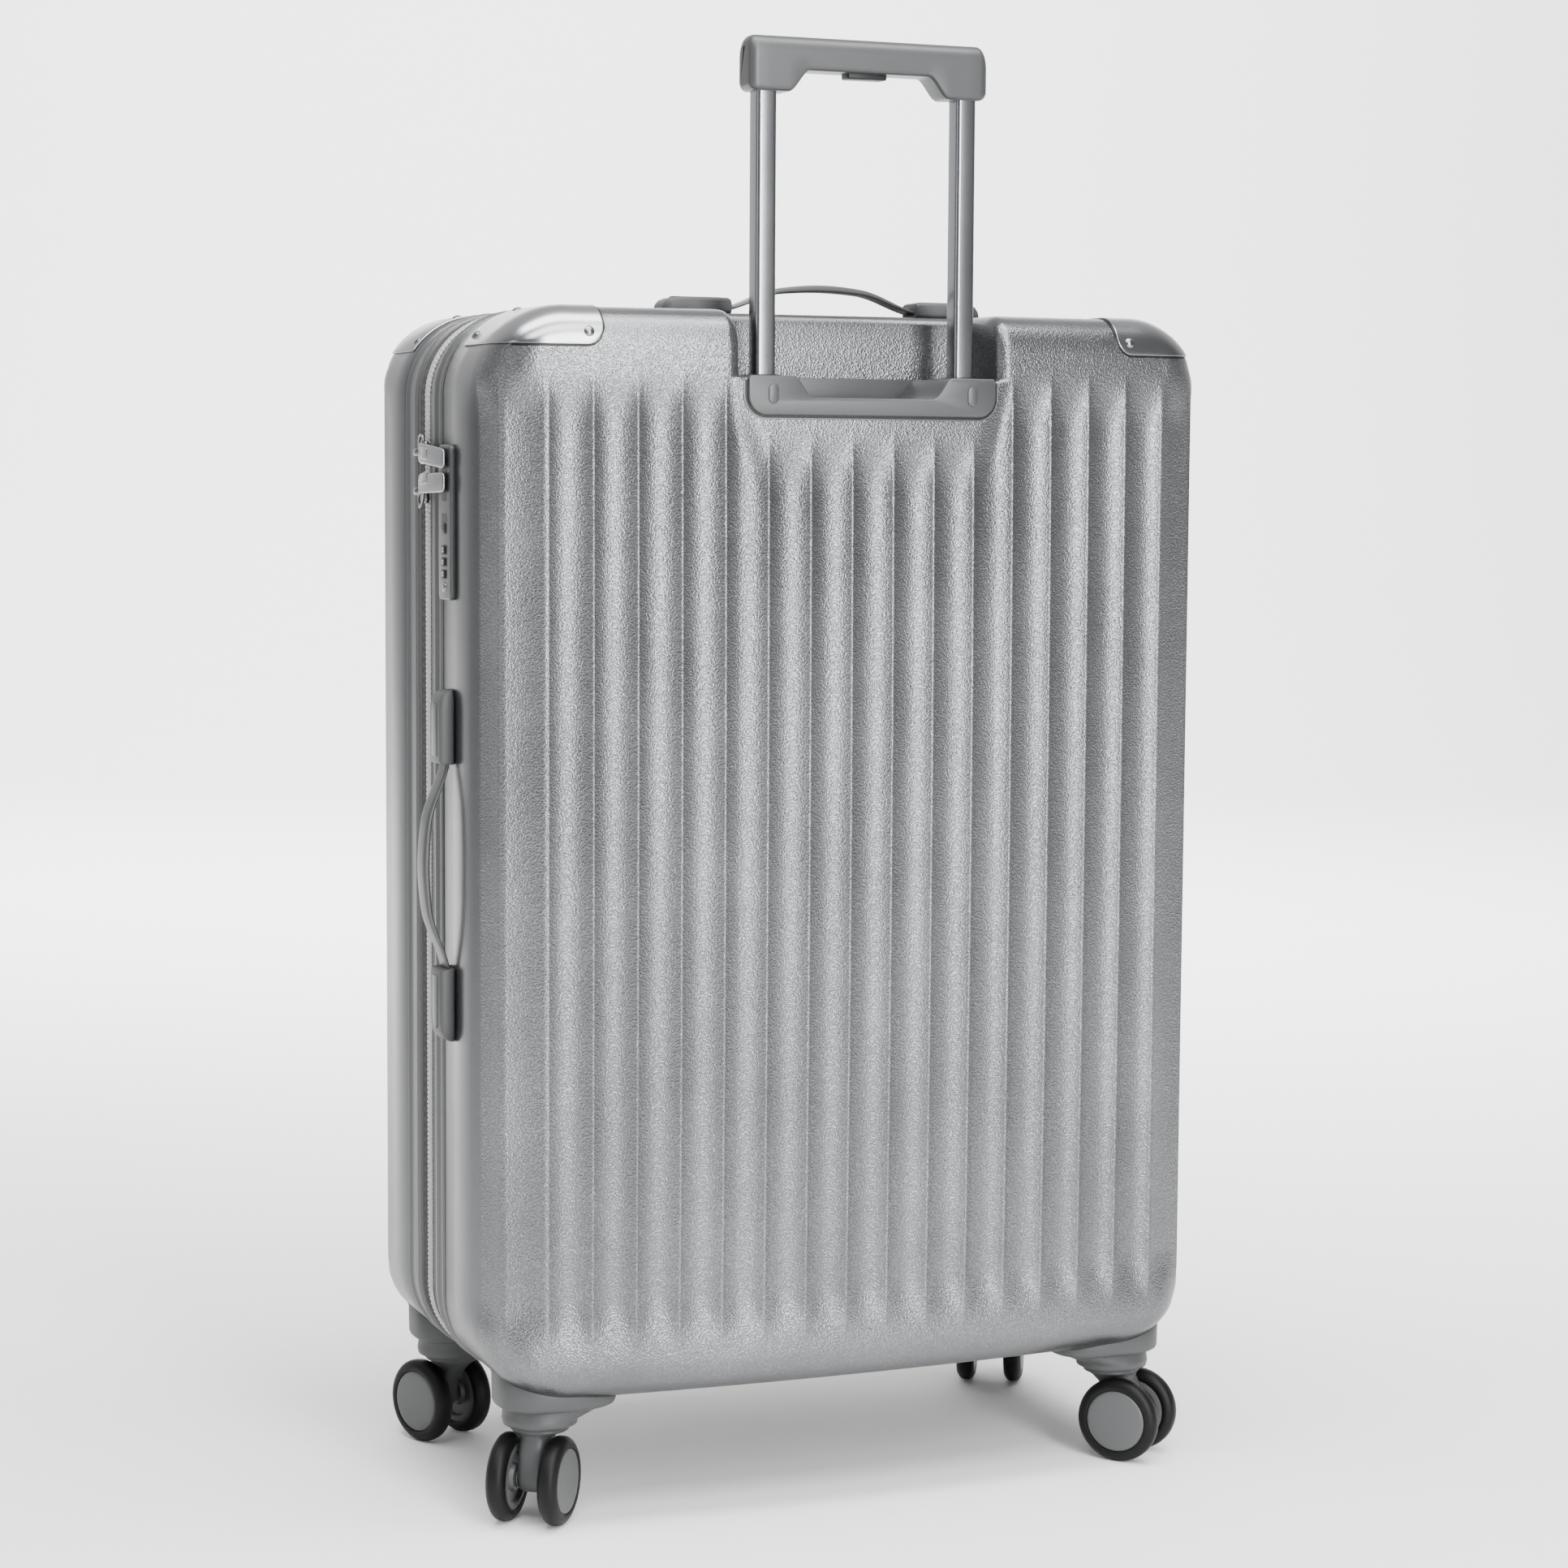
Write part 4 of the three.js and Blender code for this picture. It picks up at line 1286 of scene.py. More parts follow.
    def wheel(self, bench: Bench, label: str, outward: float) -> None:
        """Builds one wheel: a moulded disc and a cast tyre.

        Args:
            bench: where pieces are placed.
            label: the wheel's letter in the CAD names.
            outward: +1 or -1, the side of the fork.
        """
        w, r, d = self.wheel_width / 2, self.wheel_radius, self.disc_radius
        place = (self.swivel() @ Matrix.Translation((self.trail, outward * self.wheel_gap, r))
                 @ Matrix.Rotation(-outward * math.pi / 2, 4, "X"))
        disc = bmesh.new()
        turned(disc,
               [(0.0, w + 0.35), (10.0, w + 0.3), (17.5, w + 0.1), (d - 2.2, w - 0.15), (d - 1.0, w - 0.45),
                      (d - 0.35, w - 1.3), (d - 0.35, 1.0 - w), (d - 1.2, 0.6 - w), (d - 4.5, 0.6 - w),
                      (d - 5.5, 3.4 - w), (9.5, 3.4 - w), (8.6, 0.4 - w), (4.4, 0.2 - w), (3.3, 0.6 - w),
                      (3.3, 3.0), (0.0, 3.0)],
               40, place)
        bmesh.ops.recalc_face_normals(disc, faces=disc.faces)
        bench.piece(disc, f"disc_{self.name}_{label}", f"wheel_{self.name}_{label}", WHEEL_ABS, "disc",
                    [f"wheel_disc_{self.name}_{label}"], sharp=50)
        tyre = bmesh.new()
        turned(tyre,
               [(d - 0.2, w - 0.5), (d + 0.7, w - 0.15), (d + 3.2, w - 0.35), (r - 1.6, w - 2.1),
                (r - 0.4, w - 3.8),
                      (r, w - 5.6), (r, 5.6 - w), (r - 0.4, 3.8 - w), (r - 1.6, 2.1 - w), (d + 3.2, 0.35 - w),
                      (d + 0.7, 0.15 - w), (d - 0.2, 0.5 - w), (d - 0.2, w - 0.5)], 56, place)
        bmesh.ops.recalc_face_normals(tyre, faces=tyre.faces)
        bench.piece(tyre, f"tyre_{self.name}_{label}", f"wheel_{self.name}_{label}", TYRE_PU, "tyre",
                    [f"wheel_tyre_{self.name}_{label}"], sharp=50)

    def build(self, bench: Bench, body: str) -> None:
        """Builds the caster on a half of the case.

        Args:
            bench: where pieces are placed.
            body: the body that carries it.
        """
        self.housing(bench, body)
        self.fork(bench)
        self.wheel(bench, "a", 1.0)
        self.wheel(bench, "b", -1.0)


@dataclass
class Trolley:
    """Telescopic handle: grip, two tubes, their sleeves and the bezel in the recess."""

    surface: CaseSurface
    tube_x: float = 71.5
    tube_y: float = 132.0
    tube_z: tuple[float, float] = (560.0, 944.0)
    sleeve_z: tuple[float, float] = (125.3, 732.4)
    grip_half: float = 85.0
    grip_y: tuple[float, float] = (120.0, 144.0)
    grip_z: tuple[float, float] = (943.0, 979.0)
    bar: float = 22.0
    bezel_half: float = 89.0
    bezel_z: tuple[float, float] = (733.0, 759.0)
    bezel_y: tuple[float, float] = (85.3, 153.5)
    dip_half: float = 45.0
    dip_z: float = 745.0

    def tube(self, bench: Bench, hand: str, side: float) -> None:
        """Builds one extruded tube and its sleeve.

        Args:
            bench: where pieces are placed.
            hand: left or right, as in the names of the CAD nodes.
            side: 1 on the +X side, -1 on the other.
        """
        x = side * self.tube_x

        def ring(w: float, d: float, z: float, radius: float) -> Ring:
            """Rounded rectangle round the tube's axis."""
            return [Vector((u, v, z)) for u, v in rounded_rect(
                x - w / 2, x + w / 2, self.tube_y - d / 2, self.tube_y + d / 2, radius, 5)]

        bm = bmesh.new()
        low, high = self.tube_z
        lofted(bm, [ring(14.3, 15.5, z, 3.0) for z in (low, low + 0.5, high)])
        bmesh.ops.recalc_face_normals(bm, faces=bm.faces)
        bench.piece(bm, f"tube_{hand}", "trolley", ANODISED_TUBE, "tube", [f"trolley_tube_{hand}"], sharp=35)
        bm = bmesh.new()
        low, high = self.sleeve_z
        lofted(bm, [ring(19.0, 20.2, low, 3.4), ring(19.0, 20.2, high, 3.4), ring(16.0, 17.2, high, 2.6),
                    ring(16.0, 17.2, low, 2.6)], closed=True)
        bmesh.ops.recalc_face_normals(bm, faces=bm.faces)
        bench.piece(bm, f"sleeve_{hand}", "case", DARK_SLEEVE, "sleeve", [f"trolley_sleeve_{hand}"], sharp=35)

    def grip_ring(self, x: float, shrink: float) -> Ring:
        """Returns the grip's section at x: round over the top, flatter below, with a raised arch.

        Args:
            x: where along the grip.
            shrink: how far in from its skin.

        Returns:
            The section.
        """
        low, top = self.grip_z
        part = min(1.0, max(0.0, (57.0 - abs(x)) / 15.0))
        under = low + (top - self.bar - low) * part * part * (3 - 2 * part) + shrink * 0.8
        front, back = self.grip_y[1] - shrink * 0.7, self.grip_y[0] + shrink * 0.7
        high = top - shrink * 1.2
        ring = []
        for cy, cz, radius, start in ((front - 9, high - 11, (9, 11), 0), (back + 9, high - 9, (9, 9), 90),
                                      (back + 3.4, under + 3.4, (3.4, 3.4), 180),
                                      (front - 3.4, under + 3.4, (3.4, 3.4), 270)):
            for i in range(9):
                angle = math.radians(start + 90 * i / 8)
                ring.append(Vector((x, cy + radius[0] * math.cos(angle), cz + radius[1] * math.sin(angle))))
        return ring

    def grip(self, bench: Bench) -> None:
        """Builds the grip and its button.

        Args:
            bench: where pieces are placed.
        """
        bm = bmesh.new()
        half = self.grip_half
        ends = [(half - 6 + 6 * math.sin(math.radians(90 * i / 7)),
                 6 - 6 * math.cos(math.radians(90 * i / 7)))
                for i in range(8)]
        spans = [(x, 0.0) for x in (0, 12, 24, 34, 40, 42, 44, 46, 48, 50, 52, 54, 56, 57.5, 62, 70)] + ends
        right = [self.grip_ring(x, shrink) for x, shrink in spans]
        left = [self.grip_ring(-x, shrink) for x, shrink in spans[1:]]
        lofted(bm, list(reversed(left)) + right)
        bmesh.ops.recalc_face_normals(bm, faces=bm.faces)
        bench.piece(bm, "grip_body", "trolley", SATIN_ABS, "plastic", ["trolley_grip"], sharp=50)
        bm = bmesh.new()
        under = self.grip_z[1] - self.bar
        rounded_block(bm, (-14, 126, under - 3.6), (14, 138, under + 3), 1.2, 3)
        bench.piece(bm, "grip_button_cap", "grip_button", DARK_ABS_AND_SHADE, "dark_plastic", ["grip_button"], sharp=40)

    def surround(self, grow: float, lift: float) -> Ring:
        """Returns a line on the shell along the bezel's sides and lower edge, this far outside it.

        Args:
            grow: how far outside the bezel.
            lift: how far above the shell.

        Returns:
            The line's points.
        """
        low, high, half, corner = *self.bezel_z, self.bezel_half, 13.0
        line = [(half + grow, high - 3 - 3 * i) for i in range(4)]
        for side, start in ((1, 0), (-1, -90)):
            line += [(side * (half - corner) + (corner + grow) * math.cos(a),
                      low + corner + (corner + grow) * math.sin(a))
                     for a in [math.radians(start - 90 * i / 8) for i in range(9)]]
            if side > 0:
                line += [((half - corner) * (1 - i / 12), low - grow) for i in range(1, 24)]
        line += [(-half - grow, high - 12 + 3 * i) for i in range(4)]
        return [self.surface.point(x, z, 1.0, lift=lift) for x, z in line]

    def bezel(self, bench: Bench) -> None:
        """Builds the bezel: a dipped top tray, a front lip and two pads with the tubes through it, and round
        it a dark line of painted shade and a raised lip.

        Args:
            bench: where pieces are placed.
        """
        bm = bmesh.new()
        low, high = self.bezel_z
        half = self.bezel_half
        outline: list[tuple[float, float]] = []
        for k, (cu, cv) in enumerate(((half - 13, low + 13), (13 - half, low + 13))):
            if k == 0:
                outline.append((half, high - 2))
                outline += [(cu + 13 * math.cos(a), cv + 13 * math.sin(a))
                            for a in [math.radians(-90 * i / 8) for i in range(9)]]
            else:
                outline += [(cu + 13 * math.cos(a), cv + 13 * math.sin(a))
                            for a in [math.radians(-90 - 90 * i / 8) for i in range(9)]]
                outline.append((-half, high - 2))
        ease = [(s, 0.5 - 0.5 * math.cos(math.pi * s)) for s in [i / 8 for i in range(9)]]
        outline += [(-half + 2, high)]
        outline += [(-self.dip_half - 12 + 14 * s, high - (high - self.dip_z) * e) for s, e in ease]
        outline += [(self.dip_half - 2 + 14 * s, self.dip_z + (high - self.dip_z) * e) for s, e in ease]
        outline += [(half - 2, high)]
        plate(bm, [Vector((x, self.bezel_y[0], z)) for x, z in outline],
              Vector((0, self.bezel_y[1] - self.bezel_y[0], 0)), 1.6, 3)
        rounded_block(bm, (2 - half, self.bezel_y[0], low + 6),
                      (half - 2, self.bezel_y[0] + 4.6, high + 0.4), 1.0, 2)
        bench.piece(bm, "bezel_body", "case", SATIN_ABS, "plastic", ["trolley_bezel"], sharp=30)
        # The gap strip is a dark band painted round the bezel as the shade in its joint with the shell; the
        # lip is a raised bead of piping.
        for name, finish, slot, near, far, lift in (("gap", DARK_ABS_AND_SHADE, "dark_plastic", -1.0, 1.5, 0.45),
                                                    ("lip", PIPING, "rim", 1.5, 2.5, 0.7)):
            strip = bmesh.new()
            lofted(strip, [self.surround(grow, height) for grow, height in (
                (near, -0.8), (near, lift), ((near + far) / 2, lift + 0.1), (far, lift), (far, -0.8))],
                capped=False, round_trip=False)
            bmesh.ops.recalc_face_normals(strip, faces=strip.faces)
            if sum(face.normal.y for face in strip.faces) < 0:
                bmesh.ops.reverse_faces(strip, faces=strip.faces)
            bench.piece(strip, f"bezel_{name}", "case", finish, slot, sharp=50)
        pads = bmesh.new()
        for side in (1, -1):
            x = side * self.tube_x
            plate(pads, [Vector((u, self.bezel_y[1] - 0.8, v)) for u, v in
                         rounded_rect(x - 3.6, x + 3.6, low + 7.5, low + 20.5, 3.5, 5)],
                         Vector((0, 1.6, 0)), 0.5, 2)
        bench.piece(pads, "bezel_pads", "case", SATIN_ABS, "plastic", sharp=40)
        collars = bmesh.new()
        for side in (1, -1):
            x = side * self.tube_x

            def ring(grow: float, z: float) -> Ring:
                """Ring of the collar round a tube."""
                return [Vector((u, v, z)) for u, v in rounded_rect(
                    x - 7.4 - grow, x + 7.4 + grow, self.tube_y - 8.0 - grow, self.tube_y + 8.0 + grow,
                    3.2 + grow, 5)]

            lofted(collars,
                   [ring(3.4, high - 0.5), ring(3.2, high + 0.5), ring(2.8, high + 0.8),
                    ring(0.4, high + 0.8),
                             ring(0.1, high + 0.4), ring(0.1, high - 0.5)], closed=True)
        bmesh.ops.recalc_face_normals(collars, faces=collars.faces)
        bench.piece(collars, "bezel_collars", "case", DARK_ABS_AND_SHADE, "dark_plastic", sharp=40)

    def build(self, bench: Bench) -> None:
        """Builds the whole trolley.

        Args:
            bench: where pieces are placed.
        """
        self.tube(bench, "left", 1.0)
        self.tube(bench, "right", -1.0)
        self.grip(bench)
        self.bezel(bench)
        foot = bmesh.new()
        rounded_block(foot, (-86, 116, 112), (86, 141, 125), 1.5, 2)
        bench.piece(foot, "foot_block", "case", DARK_ABS_AND_SHADE, "sleeve", ["trolley_foot"])


@dataclass
class CarryHandle:
    """A sprung carry strap between two mounts, in (along, out, across) axes."""

    prefix: str
    body: str
    along: Vector
    out: Vector
    across: Vector
    origin: Vector
    half: float = 117.0
    mount: float = 49.0
    rise: float = 10.5
    width: float = 25.0

    def strap_point(self, at: float) -> tuple[float, float]:
        """Returns (middle height, half thickness) of the strap at a place along it.

        Args:
            at: where along the strap, from its middle.

        Returns:
            The middle height and the half thickness.
        """
        mouth = self.half - self.mount
        if abs(at) >= mouth + 4:
            return 3.1, 1.35
        part = 1 - abs(at) / (mouth + 4)
        ease = part * part * (3 - 2 * part)
        swell = math.sin(min(1.0, part * 1.6) * math.pi / 2)
        return 3.1 + 15.2 * (ease * 0.35 + swell ** 1.6 * 0.65), 1.4 + 1.15 * ease

    def build(self, bench: Bench) -> None:
        """Builds the strap and the two mounts.

        Args:
            bench: where pieces are placed.
        """
        local = basis(self.along, self.out, self.across, self.origin)
        bm = bmesh.new()
        rings = []
        tongue = self.half - 8
        for i in range(61):
            at = -tongue + 2 * tongue * i / 60
            middle, thick = self.strap_point(at)
            rings.append(squared_ring(thick, self.width / 2 - 3.6, 3.6, 28,
                                      lambda u, v, at=at, m=middle: Vector((at, m + u, v))))
        lofted(bm, rings)
        bmesh.ops.transform(bm, matrix=local, verts=bm.verts)
        bmesh.ops.recalc_face_normals(bm, faces=bm.faces)
        bench.piece(bm, f"{self.prefix}_grip", self.body, SATIN_ABS, "plastic", [f"{self.prefix}_strap"],
                    sharp=50)
        for label, sign in (("mount_a", 1.0), ("mount_b", -1.0)):
            start, end = self.half - self.mount, self.half
            block = bmesh.new()
            w = self.width / 2
            rings = []
            for at, top, wide in ((start, self.rise - 2.2, w - 0.8), (start + 0.5, self.rise - 0.9, w - 0.2),
                                  (start + 2.5, self.rise, w), (end - 13, self.rise, w),
                                  (end - 8, self.rise - 0.5, w),
                                  (end - 4, self.rise - 2.0, w - 0.6), (end - 1.4, self.rise - 4.6, w - 2.0),
                                  (end - 0.3, self.rise - 7.4, w - 3.4), (end, 0.5, w - 4.2)):
                thick = max(top, 1.4)
                section = rounded_rect(0.0, thick, -wide, wide, min(2.6, thick / 2 - 0.05), 4)
                rings.append([Vector((sign * at, u, v)) for u, v in section])
            lofted(block, rings)
            bmesh.ops.transform(block, matrix=local, verts=block.verts)
            bmesh.ops.recalc_face_normals(block, faces=block.faces)
            bench.piece(block, f"{self.prefix}_{label}_shell", "case", MATT_ABS, "plastic",
                        [f"{self.prefix}_{label}"], sharp=35)
            inlay = bmesh.new()
            turns = [math.radians(-90 + 180 * i / 10) for i in range(11)]
            points = [(start + 5, -5.5)]
            points += [(end - 14 + 5.5 * math.cos(turn), 5.5 * math.sin(turn)) for turn in turns]
            points.append((start + 5, 5.5))
            plate(inlay, [Vector((sign * at, self.rise - 0.6, v)) for at, v in points],
                  Vector((0, 1.1, 0)), 0.45, 2)
            bmesh.ops.transform(inlay, matrix=local, verts=inlay.verts)
            bmesh.ops.recalc_face_normals(inlay, faces=inlay.faces)
            bench.piece(inlay, f"{self.prefix}_{label}_inlay", "case", SATIN_ABS, "plastic", sharp=40)


class Segment(Enum):
    """Bars of a plain seven-bar numeral, as (from, to) corners on a 2 by 4 grid."""

    TOP = ((-1, 2), (1, 2))
    UPPER_LEFT = ((-1, 2), (-1, 0))
    UPPER_RIGHT = ((1, 2), (1, 0))
    MIDDLE = ((-1, 0), (1, 0))
    LOWER_LEFT = ((-1, 0), (-1, -2))
    LOWER_RIGHT = ((1, 0), (1, -2))
    BOTTOM = ((-1, -2), (1, -2))


NUMERALS = ("TOP UPPER_LEFT UPPER_RIGHT LOWER_LEFT LOWER_RIGHT BOTTOM", "UPPER_RIGHT LOWER_RIGHT",
            "TOP UPPER_RIGHT MIDDLE LOWER_LEFT BOTTOM", "TOP UPPER_RIGHT MIDDLE LOWER_RIGHT BOTTOM",
            "UPPER_LEFT UPPER_RIGHT MIDDLE LOWER_RIGHT", "TOP UPPER_LEFT MIDDLE LOWER_RIGHT BOTTOM",
            "TOP UPPER_LEFT MIDDLE LOWER_LEFT LOWER_RIGHT BOTTOM", "TOP UPPER_RIGHT LOWER_RIGHT",
            "TOP UPPER_LEFT UPPER_RIGHT MIDDLE LOWER_LEFT LOWER_RIGHT BOTTOM",
            "TOP UPPER_LEFT UPPER_RIGHT MIDDLE LOWER_RIGHT BOTTOM")


@dataclass
class Lock:
    """Combination lock on the side: plate, slide, three dials and a key cylinder."""

    side_x: float = 262.3
    face_x: float = 266.2
    y: tuple[float, float] = (43.5, 71.0)
    z: tuple[float, float] = (611.0, 713.0)
    dials: tuple[float, ...] = (644.0, 636.0, 628.0)
    dial_radius: float = 10.0
    key_z: float = 619.5
    recess_z: tuple[float, float] = (654.4, 668.0)

    @property
    def middle_y(self) -> float:
        """The lock's middle line."""
        return (self.y[0] + self.y[1]) / 2

    def plate_piece(self, bench: Bench) -> None:
        """Builds the plate with its stepped border, and the dark wells in it.

        Args:
            bench: where pieces are placed.
        """
        bm = bmesh.new()
        plate(bm, [Vector((self.side_x - 0.8, u, v)) for u, v in rounded_rect(*self.y, *self.z, 4.5, 6)],
              Vector((self.face_x - self.side_x + 0.4, 0, 0)), 1.2, 3)
        bench.piece(bm, "lock_plate", "case", SATIN_ABS, "plastic", ["lock_body"], sharp=35)
        wells = bmesh.new()
        mid = self.middle_y
        frames = [(mid - 5.4, mid + 5.4, *self.recess_z)]
        frames += [(mid - 6.0, mid + 6.0, z - 3.3, z + 3.3) for z in self.dials]
        frames += [(mid - 4.6, mid + 4.6, 676.0, 706.0)]
        for u0, u1, v0, v1 in frames:
            plate(wells, [Vector((self.face_x - 1.0, u, v)) for u, v in rounded_rect(u0, u1, v0, v1, 1.2, 3)],
                  Vector((0.75, 0, 0)), 0.0)
        bench.piece(wells, "lock_wells", "case", DARK_ABS_AND_SHADE, "dark_plastic", sharp=35)

    def dial(self, bench: Bench, number: int, z: float) -> None:
        """Builds one dial with its knurled edge and ten numerals.

        Args:
            bench: where pieces are placed.
            number: the dial's number in the CAD names.
            z: its height.
        """
        x = self.face_x + 1.0 - self.dial_radius
        spot = Matrix.Translation((x, self.middle_y, z))
        r = self.dial_radius
        bm = bmesh.new()
        turned(bm,
               [(0.0, 2.7), (r - 0.8, 2.7), (r - 0.25, 2.3), (r - 0.25, -2.3), (r - 0.8, -2.7),
                (0.0, -2.7)], 40, spot)
        for k in range(20):
            if k % 2:
                turn = Matrix.Rotation(math.radians(18 * k), 4, "Z")
                bmesh.ops.create_cube(bm, size=1.0, matrix=spot @ turn @ Matrix.Translation((r - 0.35, 0, 0))
                                      @ Matrix.Diagonal((0.7, 0.8, 5.0, 1.0)))
        bench.piece(bm, f"dial_{number}_wheel", f"dial_{number}", DARK_ABS_AND_SHADE, "dark_plastic",
                    [f"lock_dial_{number}"], sharp=35)
        marks = bmesh.new()
        for digit, bars in enumerate(NUMERALS):
            turn = Matrix.Rotation(math.radians(36 * digit), 4, "Z")
            for name in bars.split():
                (u0, v0), (u1, v1) = Segment[name].value
                size = (0.32, abs(u1 - u0) * 0.75 + 0.6, abs(v1 - v0) * 0.8 + 0.6)
                bmesh.ops.create_cube(marks, size=1.0, matrix=spot @ turn @ Matrix.Translation(
                    (r - 0.22, (u0 + u1) * 0.375, (v0 + v1) * 0.4)) @ Matrix.Diagonal((*size, 1.0)))
        bench.piece(marks, f"dial_{number}_numerals", f"dial_{number}", NUMERAL_PAINT, "dark_plastic",
                    sharp=35)

    def build(self, bench: Bench) -> None:
        """Builds the whole lock.

        Args:
            bench: where pieces are placed.
        """
        self.plate_piece(bench)
        for i, z in enumerate(self.dials):
            self.dial(bench, i + 1, z)
        button = bmesh.new()
        mid = self.middle_y
        rounded_block(button, (self.face_x - 1.7, mid - 4, 655), (self.face_x + 0.5, mid + 4, 661.5), 0.5, 2)
        for k in range(4):
            z = 656.2 + 1.4 * k
            rounded_block(button, (self.face_x + 0.2, mid - 3.3, z - 0.3),
                          (self.face_x + 0.8, mid + 3.3, z + 0.3), 0.2, 1)
        bench.piece(button, "lock_slide", "lock_button", DARK_ABS_AND_SHADE, "dark_plastic", ["lock_button"], sharp=40)
        key = bmesh.new()
        seat = Matrix.Translation((self.face_x - 2.7, mid, self.key_z))
        profile = [(0.0, 2.7), (0.5, 2.7), (0.5, 3.3), (2.6, 3.3), (3.1, 3.05), (3.4, 2.5), (3.4, 0.0),
                   (0.0, 0.0)]
        turned(key, profile, 28, seat @ Matrix.Rotation(math.pi / 2, 4, "Y"))
        bench.piece(key, "key_barrel", "key_cylinder", PLATED_ZINC, "zinc", ["lock_key_cylinder"], sharp=40)
        slot = bmesh.new()
        rounded_block(slot, (self.face_x + 0.1, mid - 0.45, self.key_z - 1.7),
                      (self.face_x + 0.75, mid + 0.45, self.key_z + 1.7), 0.15, 1)
        bench.piece(slot, "key_slot", "key_cylinder", DARK_ABS_AND_SHADE, "dark_plastic", sharp=40)


@dataclass
class ZipSlider:
    """One zipper slider with its puller."""

    label: str
    z: float
    tab_lift: float
    ring_side: float
    tab_slope: float = -0.09
    seam_y: float = 1.75
    plate_x: float = 260.8
    tab_end: float = 67.25

    def slant(self, bm: bmesh.types.BMesh, pivot_y: float) -> None:
        """Lets a puller lie at a slant, so that both tabs end over the lock.

        Args:
            bm: the puller's mesh.
            pivot_y: where its pin lies.
        """
        for vert in bm.verts:
            far = vert.co.y - pivot_y
            vert.co.z += self.tab_slope * far + self.tab_lift * min(1.0, max(0.0, far / 16.0))

    def build(self, bench: Bench) -> None:
        """Builds the slider's body on its run, and the puller on its swing.

        Args:
            bench: where pieces are placed.
        """
        x, y, z = self.plate_x, self.seam_y, self.z
        bm = bmesh.new()
        plate(bm, [Vector((x + 0.4, u, v)) for u, v in rounded_rect(y - 6.5, y + 7.0, z - 8, z + 8, 3.6, 6)],
              Vector((3.5, 0, 0)), 1.2, 3)
        arch = []
        for i in range(13):
            angle = math.radians(180 * i / 12)
            centre = Vector((x + 3.2, y + 0.9, z))
            reach = Vector((5.6 * math.sin(angle), -5.6 * math.cos(angle), 0))
            out = reach.normalized()
            arch.append([centre + reach + out * (1.0 * math.cos(t)) + Vector((0, 0, 2.4 * math.sin(t)))
                         for t in [2 * math.pi * k / 12 for k in range(12)]])
        lofted(bm, arch)
        bmesh.ops.recalc_face_normals(bm, faces=bm.faces)
        bench.piece(bm, f"slider_{self.label}_body", f"slider_{self.label}", PLATED_ZINC, "zinc",
                    [f"zipper_slider_{self.label}"], sharp=40)
        px, py = x + 6.4, y + 3.4
        pull = bmesh.new()
        loop = []
        for i in range(24):
            angle = 2 * math.pi * i / 24
            centre = Vector((px, py + 3.6, z + 4.6 * self.ring_side))
            c, s = math.cos(angle), math.sin(angle)
            spot = centre + Vector((0, 5.4 * math.copysign(abs(c) ** 0.8, c),
                                    7.0 * math.copysign(abs(s) ** 0.8, s)))
            out = Vector((0, c, s * 1.4)).normalized()
            loop.append([spot + out * (1.0 * math.cos(t)) + Vector((1.0 * math.sin(t), 0, 0))
                         for t in [2 * math.pi * k / 10 for k in range(10)]])
        lofted(pull, loop, closed=True)
        tab = [Vector((px + 0.5, u, v)) for u,
               v in rounded_rect(py + 5, self.tab_end, z - 6.6, z + 6.6, 3.2, 6)]
        plate(pull, tab, Vector((2.2, 0, 0)), 0.8, 3)
        plate(pull,
              [Vector((px - 0.6, u, v)) for u, v in rounded_rect(py + 3, py + 10, z - 4.4, z + 4.4, 2, 4)],
              Vector((2.0, 0, 0)), 0.6, 2)
        self.slant(pull, py)
        bmesh.ops.recalc_face_normals(pull, faces=pull.faces)
        bench.piece(pull, f"pull_{self.label}_tab", f"pull_{self.label}", PLATED_ZINC, "zinc",
                    [f"zipper_pull_{self.label}"], sharp=40)
        inlay = bmesh.new()
        plate(inlay, [Vector((px + 2.5, u, v)) for u, v in
                      rounded_rect(py + 11, py + 26, z - 4.0, z + 4.0, 1.4, 4)], Vector((0.45, 0, 0)), 0.2, 2)
        self.slant(inlay, py)
        bench.piece(inlay, f"pull_{self.label}_inlay", f"pull_{self.label}", ANODISED_TUBE, "zinc", sharp=40)


